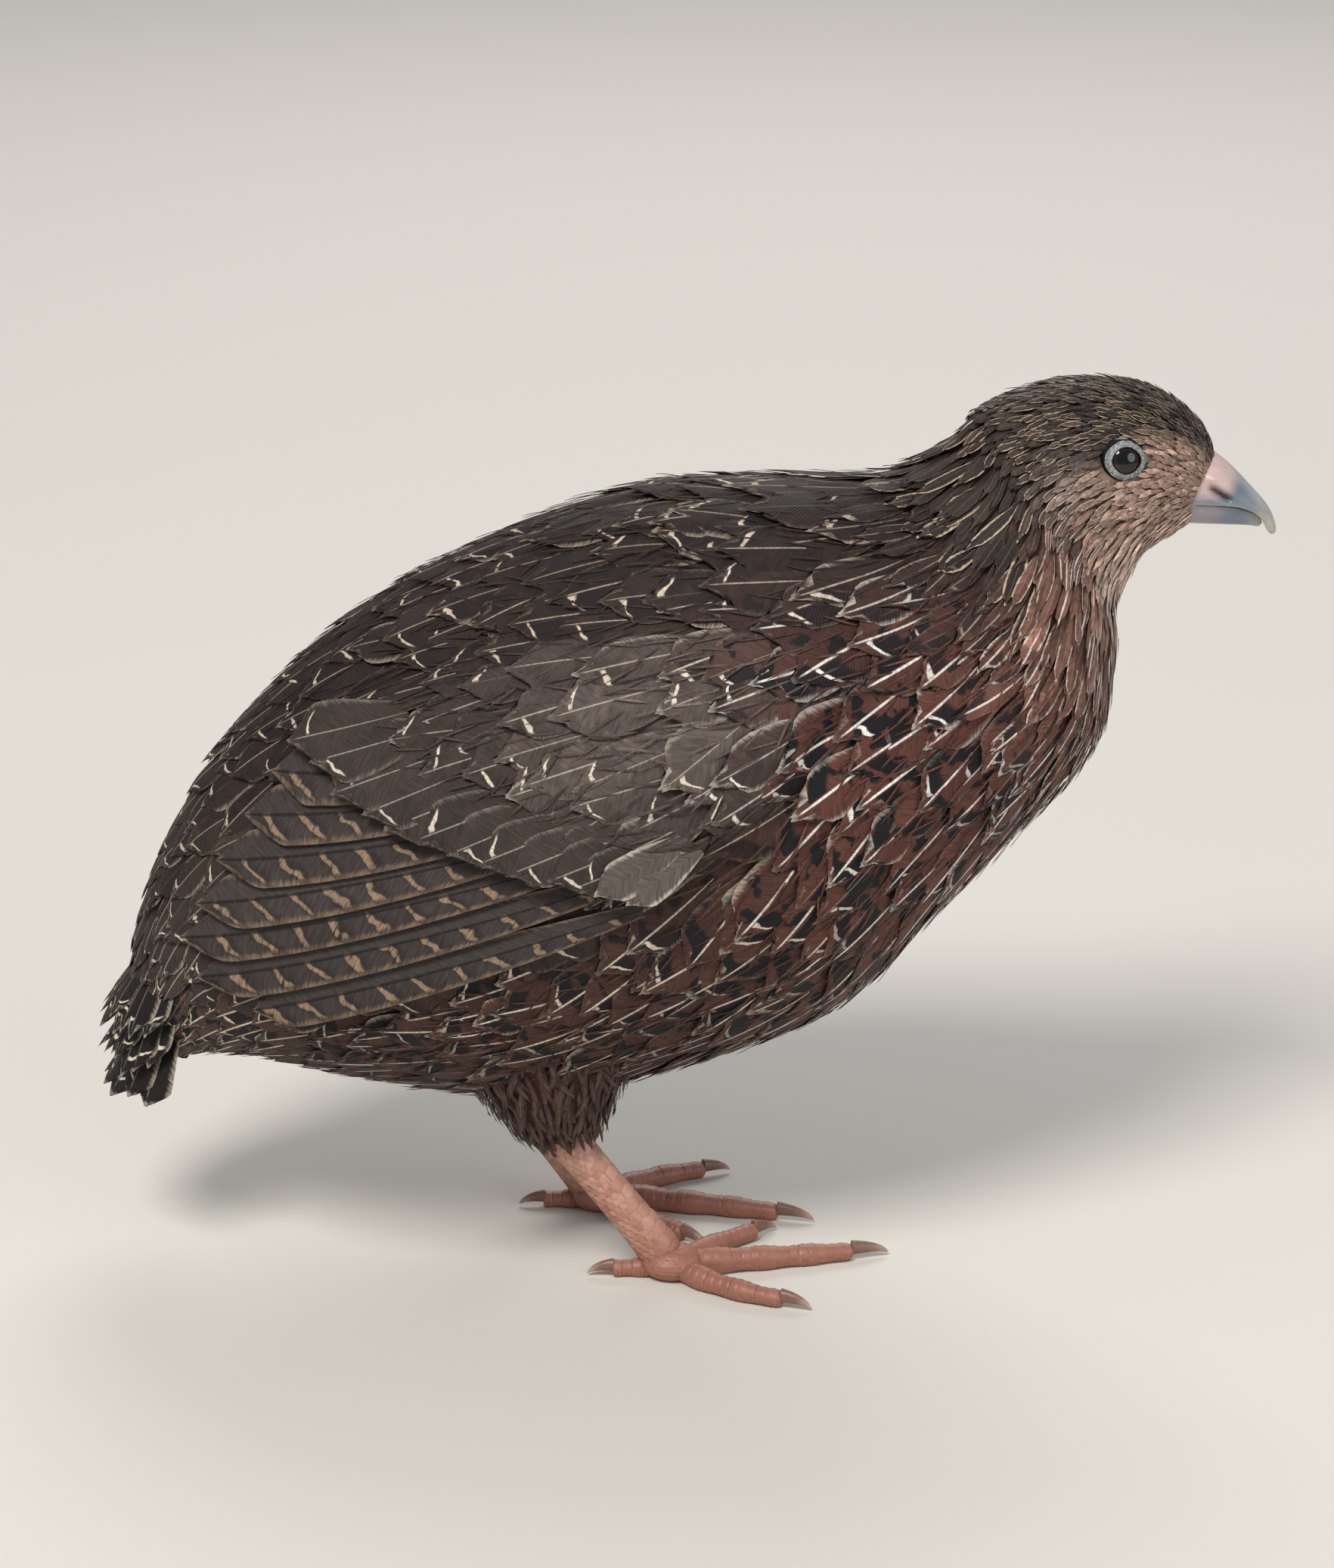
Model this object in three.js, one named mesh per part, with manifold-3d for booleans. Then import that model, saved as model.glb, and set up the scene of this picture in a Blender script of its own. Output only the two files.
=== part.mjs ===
// A life-size standing coturnix quail, as a museum shows one. Millimetres, +Z up, the bird faces +X
// and its right side is -Y. The origin is on the floor, under the middle of the bird.
// Each part of the body is one closed solid, and neighbours keep a gap of GAP between their faces.

import * as THREE from "three";
import { mergeVertices } from "three/addons/utils/BufferGeometryUtils.js";
import Module from "manifold-3d";

const wasm = await Module();
wasm.setup();

// Driving dimensions
const GAP = 0.3;
const LEFT = 1;
const RIGHT = -1;

// The body from tail to bill, as stations on its middle line. Each has a place, the pitch of the line
// in degrees, the reach to the back and to the belly, and the half width.
const STATIONS = [
  { name: "tail root", x: -67.5, z: 30.5, pitch: 62, up: 5.5, down: 5.5, side: 7.0 },
  { name: "vent", x: -64.0, z: 34.8, pitch: 50, up: 9.3, down: 9.0, side: 11.5 },
  { name: "rump", x: -57.8, z: 41.6, pitch: 36, up: 16.3, down: 16.5, side: 18.0 },
  { name: "loin", x: -46.4, z: 48.5, pitch: 26, up: 26.0, down: 25.5, side: 24.5 },
  { name: "flank", x: -28.0, z: 55.6, pitch: 21, up: 36.0, down: 34.5, side: 29.5 },
  { name: "saddle", x: -7.7, z: 63.5, pitch: 21, up: 39.5, down: 38.0, side: 31.5 },
  { name: "shoulder", x: 11.7, z: 71.8, pitch: 22, up: 38.4, down: 38.2, side: 31.0 },
  { name: "breast", x: 26.6, z: 79.9, pitch: 25, up: 31.8, down: 32.2, side: 28.0 },
  { name: "crop", x: 38.1, z: 86.0, pitch: 29, up: 26.3, down: 27.2, side: 23.5 },
  { name: "neck base", x: 46.0, z: 92.2, pitch: 37, up: 22.5, down: 23.6, side: 19.5 },
  { name: "neck", x: 50.7, z: 100.0, pitch: 38, up: 18.2, down: 18.6, side: 16.0 },
  { name: "nape", x: 52.8, z: 105.4, pitch: 34, up: 16.0, down: 16.6, side: 13.8 },
  { name: "cheek", x: 59.0, z: 109.4, pitch: 20, up: 13.6, down: 14.2, side: 12.2 },
  { name: "eye", x: 65.2, z: 109.8, pitch: 0, up: 11.5, down: 11.0, side: 10.6 },
  { name: "lore", x: 69.8, z: 108.9, pitch: -10, up: 8.8, down: 8.2, side: 7.3 },
  { name: "bill root", x: 72.4, z: 108.2, pitch: -14, up: 5.7, down: 5.8, side: 4.9 },
  { name: "bill core", x: 73.6, z: 107.8, pitch: -16, up: 3.2, down: 3.3, side: 2.8 },
];
const station = (name) => STATIONS.findIndex((row) => row.name === name);
const TAIL_END = station("vent") + 0.55;
const TORSO_END = station("neck base") - 0.35;
const NECK_END = station("nape") + 0.25;
const LOW_BULGE = 0.13;
const TORSO_RINGS = 18;
const TORSO_SIDES = 26;
const NECK_RINGS = 6;
const HEAD_RINGS = 12;
const HEAD_SIDES = 22;

// The eye and the ring of bare skin round it
const EYE = { x: 61.0, y: 8.1, z: 113.0, radius: 3.4, look: [0.19, 0.96, 0.2] };
const LID = { along: 2.8, up: 2.3, tube: 0.66, out: 2.95 };

// The bill, as curves in the middle plane: the ridge, the cutting edges and the under edge
const RIDGE = [[71.0, 114.2], [75.3, 111.4], [78.9, 107.9], [81.7, 104.6], [83.1, 100.6]];
const CUTTING_EDGE = [[67.5, 106.2], [72.5, 106.1], [77.5, 105.4], [81.0, 103.5], [82.7, 100.9]];
const LOWER_EDGE = [[67.5, 105.8], [72.2, 105.7], [76.8, 105.0], [79.8, 103.8], [81.2, 102.5]];
const UNDER_EDGE = [[67.5, 102.9], [72.0, 102.6], [76.2, 102.4], [79.4, 102.2], [80.9, 101.7]];
const UPPER_BILL_HALF_WIDTHS = [5.4, 4.9, 3.7, 2.2, 0.45];
const LOWER_BILL_HALF_WIDTHS = [5.0, 4.3, 3.1, 1.6, 0.5];
const BILL_RINGS = 12;
const BILL_SIDES = 12;
const NOSTRIL = { x: 75.0, y: 4.3, z: 107.9, long: 1.9, high: 0.45, deep: 1.0, tilt: -38 };
const NOSTRIL_FLAP = { x: 75.0, y: 2.6, z: 109.2, long: 2.9, high: 1.5, deep: 1.9, tilt: -32 };

// The folded wing lies on an ellipsoid that matches the side of the trunk. Its places are (u, v), with
// u along the body and v up, and its heights are lifts off that ellipsoid.
const FLANK = { x: -1.4, z: 61.1, pitch: 22, along: 71.2, side: 31.9, up: 42.5, down: 34.0 };
const VANE_THICK = 0.55;
const WING_CORE = { inner: -2.0, outer: 3.6, columns: 8, rows: 9 };
const WING_CORE_TOP = [[31, 18], [24, 27], [9, 31.5], [-9, 32], [-22, 31], [-31, 29.5]];
const WING_CORE_BOTTOM = [[29, 11.5], [18, 3.5], [4, -2.5], [-10.8, 2], [-21.8, 10], [-30.3, 20]];
const WING_POCKET_TOP = [[8, 22], [-15, 30], [-38, 31], [-52, 25], [-65, 16]];
const WING_POCKET_BOTTOM = [[8, -4], [-15, -5], [-38, -3.5], [-52, -1.5], [-65, 5]];
// Each tier runs from its lowest vane to its highest. A vane's lower edge laps over the one below.
const WING_TIERS = [
  {
    name: "primaries and secondaries", halfWidth: [3.9, 5.2], lift: 0.3, sink: 0.4, lap: 1.1, bow: -1.2,
    steps: [0, 0.35, 0.65, 0.86, 0.96, 1],
    tips: [[-55.3, 2.9], [-58.6, 6.8], [-60.3, 10.8], [-57.6, 14.3], [-53.2, 17.8], [-48.6, 21.6], [-44.2, 25.2], [-39.8, 28.4]],
    roots: [[0, -0.5], [2, 2.5], [3, 5.6], [2.3, 8.9], [0.4, 11.6], [-2, 14.3], [-4.5, 17.5], [-7, 20.5]],
  },
  {
    name: "greater coverts", halfWidth: [3.2, 4.6], lift: 2.9, sink: 1.6, lap: 0.8, bow: 0,
    steps: [0, 0.5, 0.84, 0.96, 1],
    tips: [[-9.1, 7.8], [-14.1, 11.8], [-19, 15.4], [-24, 19.2], [-28.6, 23.6], [-32.5, 28]],
    roots: [[9, 6.5], [6, 10.5], [2, 14.6], [-3, 18.8], [-8, 23], [-12, 27]],
  },
  {
    name: "median coverts", halfWidth: [4.0, 4.6], lift: 4.0, sink: 2.0, lap: 0.75, bow: 0,
    steps: [0, 0.5, 0.84, 1],
    tips: [[0.4, 11.4], [-5.6, 15.6], [-11, 20], [-15.6, 24.6], [-19.6, 29]],
    roots: [[16, 10], [11.5, 14.8], [6.5, 19.4], [2, 24], [-2, 28]],
  },
  {
    name: "lesser coverts", halfWidth: [3.8, 4.4], lift: 4.6, sink: 2.4, lap: 0.7, bow: 0,
    steps: [0, 0.5, 0.84, 1],
    tips: [[12, 13.6], [6.6, 18.2], [1.8, 23], [-2.6, 27.6]],
    roots: [[25, 13.6], [20, 18.4], [15, 23], [10.5, 27]],
  },
];

// The tail hangs steeply behind the rump. Lengths are along it and levels are out from its middle.
const TAIL = { x: -62.0, z: 43.0, pitch: -58 };
const TAIL_TIERS = [
  { name: "flight feathers", pairs: 5, start: 4, length: 20, spread: 2.3, first: 1.5, splay: 4.5, halfWidth: 3.0, level: 0.2 },
  { name: "lower coverts", pairs: 3, start: 3, length: 15.5, spread: 2.5, first: 1.4, splay: 5, halfWidth: 2.9, level: 3.4 },
  { name: "upper coverts", pairs: 3, start: 1, length: 13, spread: 2.7, first: 1.5, splay: 5, halfWidth: 2.8, level: 6.4 },
];
const TAIL_LAP = 0.62;
const TAIL_ROOF = 0.035;

// Legs: the right foot stands ahead of the left
const FEET = {
  right: { side: RIGHT, x: 3.0, y: -13.0, turn: 3 },
  left: { side: LEFT, x: -7.0, y: 10.5, turn: 2 },
};
const HOCK = { back: 19.5, z: 27.0 };
// The thigh's feathers as rings from inside the trunk down to the shank, placed from the hock
const THIGH_SIDES = 14;
const THIGH = [
  { back: -6, rise: 22, deep: 15.0, wide: 11.0 },
  { back: -2, rise: 10, deep: 15.5, wide: 11.5 },
  { back: -1, rise: 2, deep: 13.0, wide: 9.6 },
  { back: -3, rise: -3.5, deep: 9.0, wide: 7.0 },
  { back: -5.2, rise: -7.2, deep: 5.2, wide: 4.8 },
  { back: -6.6, rise: -9.2, deep: 3.4, wide: 3.3 },
];
const SHANK = { deep: 2.5, wide: 2.1, scutes: 10, sides: 10, step: 0.22 };
const PAD = { long: 4.3, wide: 3.9, high: 2.5, z: 2.1 };
// turn is from straight ahead towards the midline, in degrees, and bend is what it gains by the tip
const TOES = [
  { name: "hind", turn: 178, bend: 0, length: 8.2, base: 1.45, tip: 1.1, scutes: 3, claw: 4.2 },
  { name: "inner", turn: 50, bend: -12, length: 17.0, base: 1.75, tip: 1.2, scutes: 6, claw: 4.8 },
  { name: "middle", turn: 6, bend: 6, length: 25.5, base: 1.95, tip: 1.25, scutes: 9, claw: 6.0 },
  { name: "outer", turn: -56, bend: 36, length: 18.5, base: 1.75, tip: 1.2, scutes: 7, claw: 4.8 },
];
const TOE_SIDES = 8;

const rad = THREE.MathUtils.degToRad;
const lerp = THREE.MathUtils.lerp;
const clamp = THREE.MathUtils.clamp;

// Catmull-Rom through a list of numbers, with t counted in list places
function spline(values, t) {
  const last = values.length - 1;
  const i = clamp(Math.floor(t), 0, last - 1);
  const u = t - i;
  const at = (k) => values[clamp(k, 0, last)];
  const [a, b, c, d] = [at(i - 1), at(i), at(i + 1), at(i + 2)];
  return 0.5 * (2 * b + (c - a) * u + (2 * a - 5 * b + 4 * c - d) * u * u + (3 * b - a - 3 * c + d) * u ** 3);
}

// A point on a curve given as [first, second] pairs, with t from 0 to 1
function along(pairs, t) {
  const place = t * (pairs.length - 1);
  return [0, 1].map((k) => spline(pairs.map((p) => p[k]), place));
}

// A point of the body's outline at place t on STATIONS. Angle 0 is the back, and grow moves it out.
function bodyPoint(t, angle, grow = 0) {
  const field = (key) => spline(STATIONS.map((row) => row[key]), t);
  const pitch = rad(field("pitch"));
  const rise = Math.cos(angle) * (field(Math.cos(angle) > 0 ? "up" : "down") + grow);
  const y = (field("side") + grow) * Math.sin(angle) * (1 - LOW_BULGE * Math.cos(angle));
  return new THREE.Vector3(field("x") - rise * Math.sin(pitch), y, field("z") + rise * Math.cos(pitch));
}

// A manifold solid from points and triangles, turned to face out
function solidOf(points, triangles) {
  const geometry = new THREE.BufferGeometry().setFromPoints(points);
  geometry.setIndex(triangles.flat());
  return solidOfGeometry(geometry);
}

function solidOfGeometry(source) {
  const geometry = source.clone();
  geometry.deleteAttribute("normal");
  geometry.deleteAttribute("uv");
  const merged = mergeVertices(geometry, 1e-4);
  const vertProperties = merged.attributes.position.array;
  let triVerts = new Uint32Array(merged.index.array);
  triVerts = dropFlat(triVerts);
  const first = new wasm.Manifold(new wasm.Mesh({ numProp: 3, vertProperties, triVerts }));
  if (first.volume() > 0) return first;
  for (let i = 0; i < triVerts.length; i += 3) {
    [triVerts[i + 1], triVerts[i + 2]] = [triVerts[i + 2], triVerts[i + 1]];
  }
  return new wasm.Manifold(new wasm.Mesh({ numProp: 3, vertProperties, triVerts }));
}

// Leaves out triangles that merging has folded to a line
function dropFlat(indices) {
  const kept = [];
  for (let i = 0; i < indices.length; i += 3) {
    const [a, b, c] = indices.slice(i, i + 3);
    if (a !== b && b !== c && a !== c) kept.push(a, b, c);
  }
  return new Uint32Array(kept);
}

// Closed skin over rings of equal count, with a fan at each end
function loft(rings) {
  const sides = rings[0].length;
  const points = rings.flat();
  const triangles = [];
  for (let i = 0; i + 1 < rings.length; i += 1) {
    for (let j = 0; j < sides; j += 1) {
      const k = (j + 1) % sides;
      const [a, b, c, d] = [i * sides + j, i * sides + k, (i + 1) * sides + k, (i + 1) * sides + j];
      triangles.push([a, b, c], [a, c, d]);
    }
  }
  const middle = (ring) => ring.reduce((sum, p) => sum.add(p), new THREE.Vector3()).divideScalar(sides);
  const start = points.push(middle(rings[0])) - 1;
  const end = points.push(middle(rings[rings.length - 1])) - 1;
  const base = (rings.length - 1) * sides;
  for (let j = 0; j < sides; j += 1) {
    const k = (j + 1) % sides;
    triangles.push([start, k, j], [end, base + j, base + k]);
  }
  return solidOf(points, triangles);
}

// Closed plate between two grids of equal size, with both faces cut into triangles alike
function plate(outer, inner) {
  const rows = outer.length;
  const columns = outer[0].length;
  const points = [...outer.flat(), ...inner.flat()];
  const low = rows * columns;
  const at = (i, j) => i * columns + j;
  const triangles = [];
  for (let i = 0; i + 1 < rows; i += 1) {
    for (let j = 0; j + 1 < columns; j += 1) {
      const [a, b, c, d] = [at(i, j), at(i, j + 1), at(i + 1, j + 1), at(i + 1, j)];
      triangles.push([a, b, c], [a, c, d], [low + a, low + c, low + b], [low + a, low + d, low + c]);
    }
  }
  const rim = [];
  for (let j = 0; j < columns; j += 1) rim.push(at(0, j));
  for (let i = 1; i < rows; i += 1) rim.push(at(i, columns - 1));
  for (let j = columns - 2; j >= 0; j -= 1) rim.push(at(rows - 1, j));
  for (let i = rows - 2; i > 0; i -= 1) rim.push(at(i, 0));
  rim.forEach((a, k) => {
    const b = rim[(k + 1) % rim.length];
    triangles.push([a, low + a, low + b], [a, low + b, b]);
  });
  return solidOf(points, triangles);
}

// An ellipsoid with half axes along X, Y and Z, turned about Y, then placed
function ellipsoid(half, centre, tilt = 0, detail = 14) {
  const geometry = new THREE.SphereGeometry(1, detail, Math.round(detail * 0.7));
  geometry.scale(...half);
  geometry.rotateY(rad(-tilt));
  geometry.translate(...centre);
  return solidOfGeometry(geometry);
}

function box(low, high) {
  const size = high.map((value, k) => value - low[k]);
  const geometry = new THREE.BoxGeometry(...size);
  geometry.translate(...high.map((value, k) => (value + low[k]) / 2));
  return solidOfGeometry(geometry);
}

const join = (solids) => solids.reduce((sum, next) => sum.add(next));

// Keeps only the largest closed surface of a solid
function largest(solid) {
  const bodies = solid.decompose();
  return bodies.reduce((best, next) => (next.volume() > best.volume() ? next : best));
}

// Trunk, neck and head from the stations

function bodyLength(from, to, rings, sides, grow = 0) {
  const made = [];
  for (let i = 0; i < rings; i += 1) {
    const t = lerp(from, to, i / (rings - 1));
    const ring = [];
    for (let j = 0; j < sides; j += 1) {
      ring.push(bodyPoint(t, (2 * Math.PI * j) / sides, grow));
    }
    made.push(ring);
  }
  return loft(made);
}

// How far along STATIONS a gap of GAP is at place t
function gapAt(t) {
  const step = 0.05;
  const here = bodyPoint(t, Math.PI / 2).setY(0);
  const there = bodyPoint(t + step, Math.PI / 2).setY(0);
  return (GAP * step) / here.distanceTo(there);
}

function eyeball(side, grow = 0) {
  const geometry = new THREE.IcosahedronGeometry(EYE.radius + grow, 2);
  geometry.translate(EYE.x, side * EYE.y, EYE.z);
  return solidOfGeometry(geometry);
}

function lidRing(side) {
  const look = new THREE.Vector3(EYE.look[0], side * EYE.look[1], EYE.look[2]).normalize();
  const geometry = new THREE.TorusGeometry(1, LID.tube / LID.along, 5, 14);
  geometry.scale(LID.along, LID.up, LID.along);
  geometry.rotateX(Math.PI / 2);
  geometry.applyQuaternion(new THREE.Quaternion().setFromUnitVectors(new THREE.Vector3(0, side, 0), look));
  geometry.translate(EYE.x, side * EYE.y, EYE.z);
  geometry.translate(...look.multiplyScalar(LID.out).toArray());
  return solidOfGeometry(geometry);
}

// A half of the bill: an arch of rings between two curves in the middle plane
function billHalf(edge, crest, halfWidths, grow = 0) {
  const rings = [];
  for (let i = 0; i < BILL_RINGS; i += 1) {
    const t = i / (BILL_RINGS - 1);
    const low = along(edge, t);
    const high = along(crest, t);
    const span = Math.hypot(high[0] - low[0], high[1] - low[1]);
    const way = [(high[0] - low[0]) / span, (high[1] - low[1]) / span];
    const half = spline(halfWidths, t * (halfWidths.length - 1)) + grow;
    const ring = [];
    for (let j = 0; j < BILL_SIDES; j += 1) {
      const angle = (Math.PI * j) / (BILL_SIDES - 1);
      const reach = Math.sin(angle) * (span + 2 * grow) - grow;
      ring.push(new THREE.Vector3(low[0] + way[0] * reach, half * Math.cos(angle), low[1] + way[1] * reach));
    }
    rings.push(ring);
  }
  return loft(rings);
}

function upperBill(grow = 0) {
  const flaps = [LEFT, RIGHT].map((side) => {
    const half = [NOSTRIL_FLAP.long, NOSTRIL_FLAP.deep, NOSTRIL_FLAP.high].map((value) => value + grow);
    return ellipsoid(half, [NOSTRIL_FLAP.x, side * NOSTRIL_FLAP.y, NOSTRIL_FLAP.z], NOSTRIL_FLAP.tilt, 8);
  });
  return join([billHalf(CUTTING_EDGE, RIDGE, UPPER_BILL_HALF_WIDTHS, grow), ...flaps]);
}

function lowerBill(grow = 0) {
  return billHalf(LOWER_EDGE, UNDER_EDGE, LOWER_BILL_HALF_WIDTHS, grow);
}

function carvedUpperBill() {
  const slits = [LEFT, RIGHT].map((side) => {
    const half = [NOSTRIL.long, NOSTRIL.deep, NOSTRIL.high];
    return ellipsoid(half, [NOSTRIL.x, side * NOSTRIL.y, NOSTRIL.z], NOSTRIL.tilt, 8);
  });
  return largest(upperBill().subtract(join(slits)));
}

// Wing: everything is placed by (u, v) on the flank's ellipsoid and a lift off it

function flankPoint(u, v, lift, side) {
  const height = v > 0 ? FLANK.up : FLANK.down;
  const inside = Math.max(0.06, 1 - (u / FLANK.along) ** 2 - (v / height) ** 2);
  const y = FLANK.side * Math.sqrt(inside);
  const normal = new THREE.Vector3(u / FLANK.along ** 2, y / FLANK.side ** 2, v / height ** 2).normalize();
  const point = new THREE.Vector3(u, y, v).addScaledVector(normal, lift);
  point.applyAxisAngle(new THREE.Vector3(0, 1, 0), -rad(FLANK.pitch));
  return new THREE.Vector3(point.x + FLANK.x, side * point.y, point.z + FLANK.z);
}

// Half width of a vane at t from root to tip, as a share of its widest
function vaneShape(t) {
  const root = clamp(0.55 + 0.75 * t, 0, 1);
  const tipStart = 0.78;
  const tip = t < tipStart ? 1 : Math.sqrt(Math.max(0.03, 1 - ((t - tipStart) / (1 - tipStart)) ** 2.4));
  return root * tip;
}

// One vane on the flank, from a root sunk in the core to a tip that lies over the next tier
function wingVane(tier, i, side) {
  const root = tier.roots[i];
  const tip = tier.tips[i];
  const way = [tip[0] - root[0], tip[1] - root[1]];
  const length = Math.hypot(...way);
  const across = [way[1] / length, -way[0] / length];
  const widest = lerp(...tier.halfWidth, i / (tier.tips.length - 1));
  const outer = [];
  const inner = [];
  for (const t of tier.steps) {
    const rows = [[], []];
    for (const r of [-1, 0, 1]) {
      const shift = tier.bow * 4 * t * (1 - t) + r * widest * vaneShape(t);
      const [u, v] = [0, 1].map((k) => root[k] + way[k] * t + across[k] * shift);
      const level = tier.lift - tier.sink * (1 - t) + tier.lap * (1 - r) + (r === 0 ? 0.15 : 0);
      rows[0].push(flankPoint(u, v, level + VANE_THICK * (t === 1 ? 0.7 : 1), side));
      rows[1].push(flankPoint(u, v, level, side));
    }
    outer.push(rows[0]);
    inner.push(rows[1]);
  }
  return plate(outer, inner);
}

// The arm under the coverts: thick in the middle and thin at its rim
function wingCore(side, grow = 0, reach = 0) {
  const { columns, rows } = WING_CORE;
  const outer = [];
  const inner = [];
  for (let i = 0; i < rows; i += 1) {
    const s = i / (rows - 1);
    const top = along(WING_CORE_TOP, s);
    const bottom = along(WING_CORE_BOTTOM, s);
    const stretch = 1 + (2 * grow) / Math.hypot(top[0] - bottom[0], top[1] - bottom[1]);
    const lines = [[], []];
    for (let j = 0; j < columns; j += 1) {
      const share = (1 - Math.cos((Math.PI * j) / (columns - 1))) / 2;
      const across = (share - 0.5) * stretch + 0.5;
      const u = lerp(bottom[0], top[0], across) + grow * (1 - 2 * s);
      const v = lerp(bottom[1], top[1], across);
      const swell = Math.sqrt(Math.sin(Math.PI * share) * Math.sin(Math.PI * lerp(0.12, 0.84, s)));
      lines[0].push(flankPoint(u, v, lerp(0.5, WING_CORE.outer, swell || 0) + grow + reach, side));
      lines[1].push(flankPoint(u, v, lerp(-0.1, WING_CORE.inner, swell || 0) - grow, side));
    }
    outer.push(lines[0]);
    inner.push(lines[1]);
  }
  return plate(outer, inner);
}

function wing(side) {
  const vanes = WING_TIERS.flatMap((tier) => tier.tips.map((tip, i) => wingVane(tier, i, side)));
  return largest(join([wingCore(side), ...vanes]));
}

// What the trunk is cut back by, so that it clears the wing
function wingPocket(side) {
  const columns = 5;
  const rows = 7;
  const outer = [];
  const inner = [];
  for (let i = 0; i < rows; i += 1) {
    const top = along(WING_POCKET_TOP, i / (rows - 1));
    const bottom = along(WING_POCKET_BOTTOM, i / (rows - 1));
    const lines = [[], []];
    for (let j = 0; j < columns; j += 1) {
      const [u, v] = [0, 1].map((k) => lerp(bottom[k], top[k], j / (columns - 1)));
      lines[0].push(flankPoint(u, v, 12, side));
      lines[1].push(flankPoint(u, v, -0.15 - GAP, side));
    }
    outer.push(lines[0]);
    inner.push(lines[1]);
  }
  return plate(outer, inner).add(wingCore(side, GAP, 8));
}

// Tail: the end of the body with the coverts and the vanes of the fan

const tailWay = new THREE.Vector3(-Math.cos(rad(TAIL.pitch)), 0, Math.sin(rad(TAIL.pitch)));
const tailOut = new THREE.Vector3(Math.sin(rad(TAIL.pitch)), 0, Math.cos(rad(TAIL.pitch)));

function tailPoint(distance, y, level) {
  return new THREE.Vector3(TAIL.x, y, TAIL.z).addScaledVector(tailWay, distance).addScaledVector(tailOut, level);
}

function tailVane(tier, i, side) {
  const splay = rad(2 + tier.splay * i);
  const offset = tier.first + tier.spread * i;
  const length = tier.length * (1 - 0.05 * i);
  const outer = [];
  const inner = [];
  for (const t of [0, 0.3, 0.6, 0.84, 1]) {
    const lines = [[], []];
    for (const r of [-1, 0, 1]) {
      const y = offset + length * t * Math.sin(splay) + r * tier.halfWidth * vaneShape(t);
      const height = tier.level + TAIL_LAP * (1 - r) - TAIL_ROOF * y * y + (r === 0 ? 0.15 : 0);
      const distance = tier.start + length * t * Math.cos(splay) - 0.8 * Math.abs(r) * t;
      lines[0].push(tailPoint(distance, side * y, height + VANE_THICK));
      lines[1].push(tailPoint(distance, side * y, height));
    }
    outer.push(lines[0]);
    inner.push(lines[1]);
  }
  return plate(outer, inner);
}

function tail() {
  const parts = [bodyLength(0, TAIL_END, 7, 18)];
  for (const tier of TAIL_TIERS) {
    for (let i = 0; i < tier.pairs; i += 1) {
      parts.push(tailVane(tier, i, LEFT), tailVane(tier, i, RIGHT));
    }
  }
  return join(parts);
}

// Legs

function hockOf(foot) {
  return new THREE.Vector3(foot.x - HOCK.back, foot.y * 1.02, HOCK.z);
}

// The feathered thigh, from inside the trunk down over the hock
function thigh(foot, grow = 0) {
  const hock = hockOf(foot);
  const rings = THIGH.map(({ back, rise, deep, wide }, i) => {
    const lower = i === THIGH.length - 1 ? 1.2 * grow : 0;
    const ring = [];
    for (let j = 0; j < THIGH_SIDES; j += 1) {
      const angle = (2 * Math.PI * j) / THIGH_SIDES;
      const x = hock.x - back + (deep + grow) * Math.cos(angle);
      const z = hock.z + rise + 0.3 * deep * Math.cos(angle) - lower;
      ring.push(new THREE.Vector3(x, hock.y + (wide + grow) * Math.sin(angle), z));
    }
    return ring;
  });
  return loft(rings);
}

// The scaly shank and the pad under it. The front of the shank is stepped by its scutes.
function shank(foot, grow = 0) {
  const hock = hockOf(foot);
  const ankle = new THREE.Vector3(foot.x - 1.2, foot.y, 3.2);
  const way = ankle.clone().sub(hock).normalize();
  hock.addScaledVector(way, -1.5);
  const length = ankle.distanceTo(hock);
  const front = new THREE.Vector3(0, 1, 0).cross(way).negate().normalize();
  const rings = [];
  for (let i = 0; i < SHANK.scutes; i += 1) {
    for (const [share, step] of [[0.04, 0], [0.96, SHANK.step]]) {
      const t = (i + share) / SHANK.scutes;
      const swell = 1 + 0.22 * (1 - t) ** 4 + 0.28 * t ** 5;
      const ring = [];
      for (let j = 0; j < SHANK.sides; j += 1) {
        const angle = (2 * Math.PI * j) / SHANK.sides;
        const raised = Math.cos(angle) > 0.2 ? step : 0;
        const deep = (SHANK.deep * swell + raised + grow) * Math.cos(angle);
        const wide = (SHANK.wide * swell + raised * 0.5 + grow) * Math.sin(angle);
        ring.push(hock.clone().addScaledVector(way, t * length).addScaledVector(front, deep).add(new THREE.Vector3(0, wide, 0)));
      }
      rings.push(ring);
    }
  }
  const pad = ellipsoid(
    [PAD.long + grow, PAD.wide + grow, PAD.high + grow], [foot.x, foot.y, PAD.z], 0, 14,
  );
  const floor = box([-200, -200, -50], [200, 200, 0]);
  return join([loft(rings), pad]).subtract(floor);
}

// A place on a toe's line over the floor at a distance from the pad, with the line's own directions
function toePlace(foot, toe, distance) {
  const steps = 6;
  const place = new THREE.Vector3(foot.x, foot.y, 0);
  const way = new THREE.Vector3();
  for (let i = 0; i < steps; i += 1) {
    const gained = toe.bend * Math.min(1, ((i + 0.5) * distance) / (steps * toe.length));
    const turn = rad(-foot.side * (toe.turn + foot.turn + gained));
    way.set(Math.cos(turn), Math.sin(turn), 0);
    place.addScaledVector(way, distance / steps);
  }
  return { place, way, across: new THREE.Vector3(-way.y, way.x, 0) };
}

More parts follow.
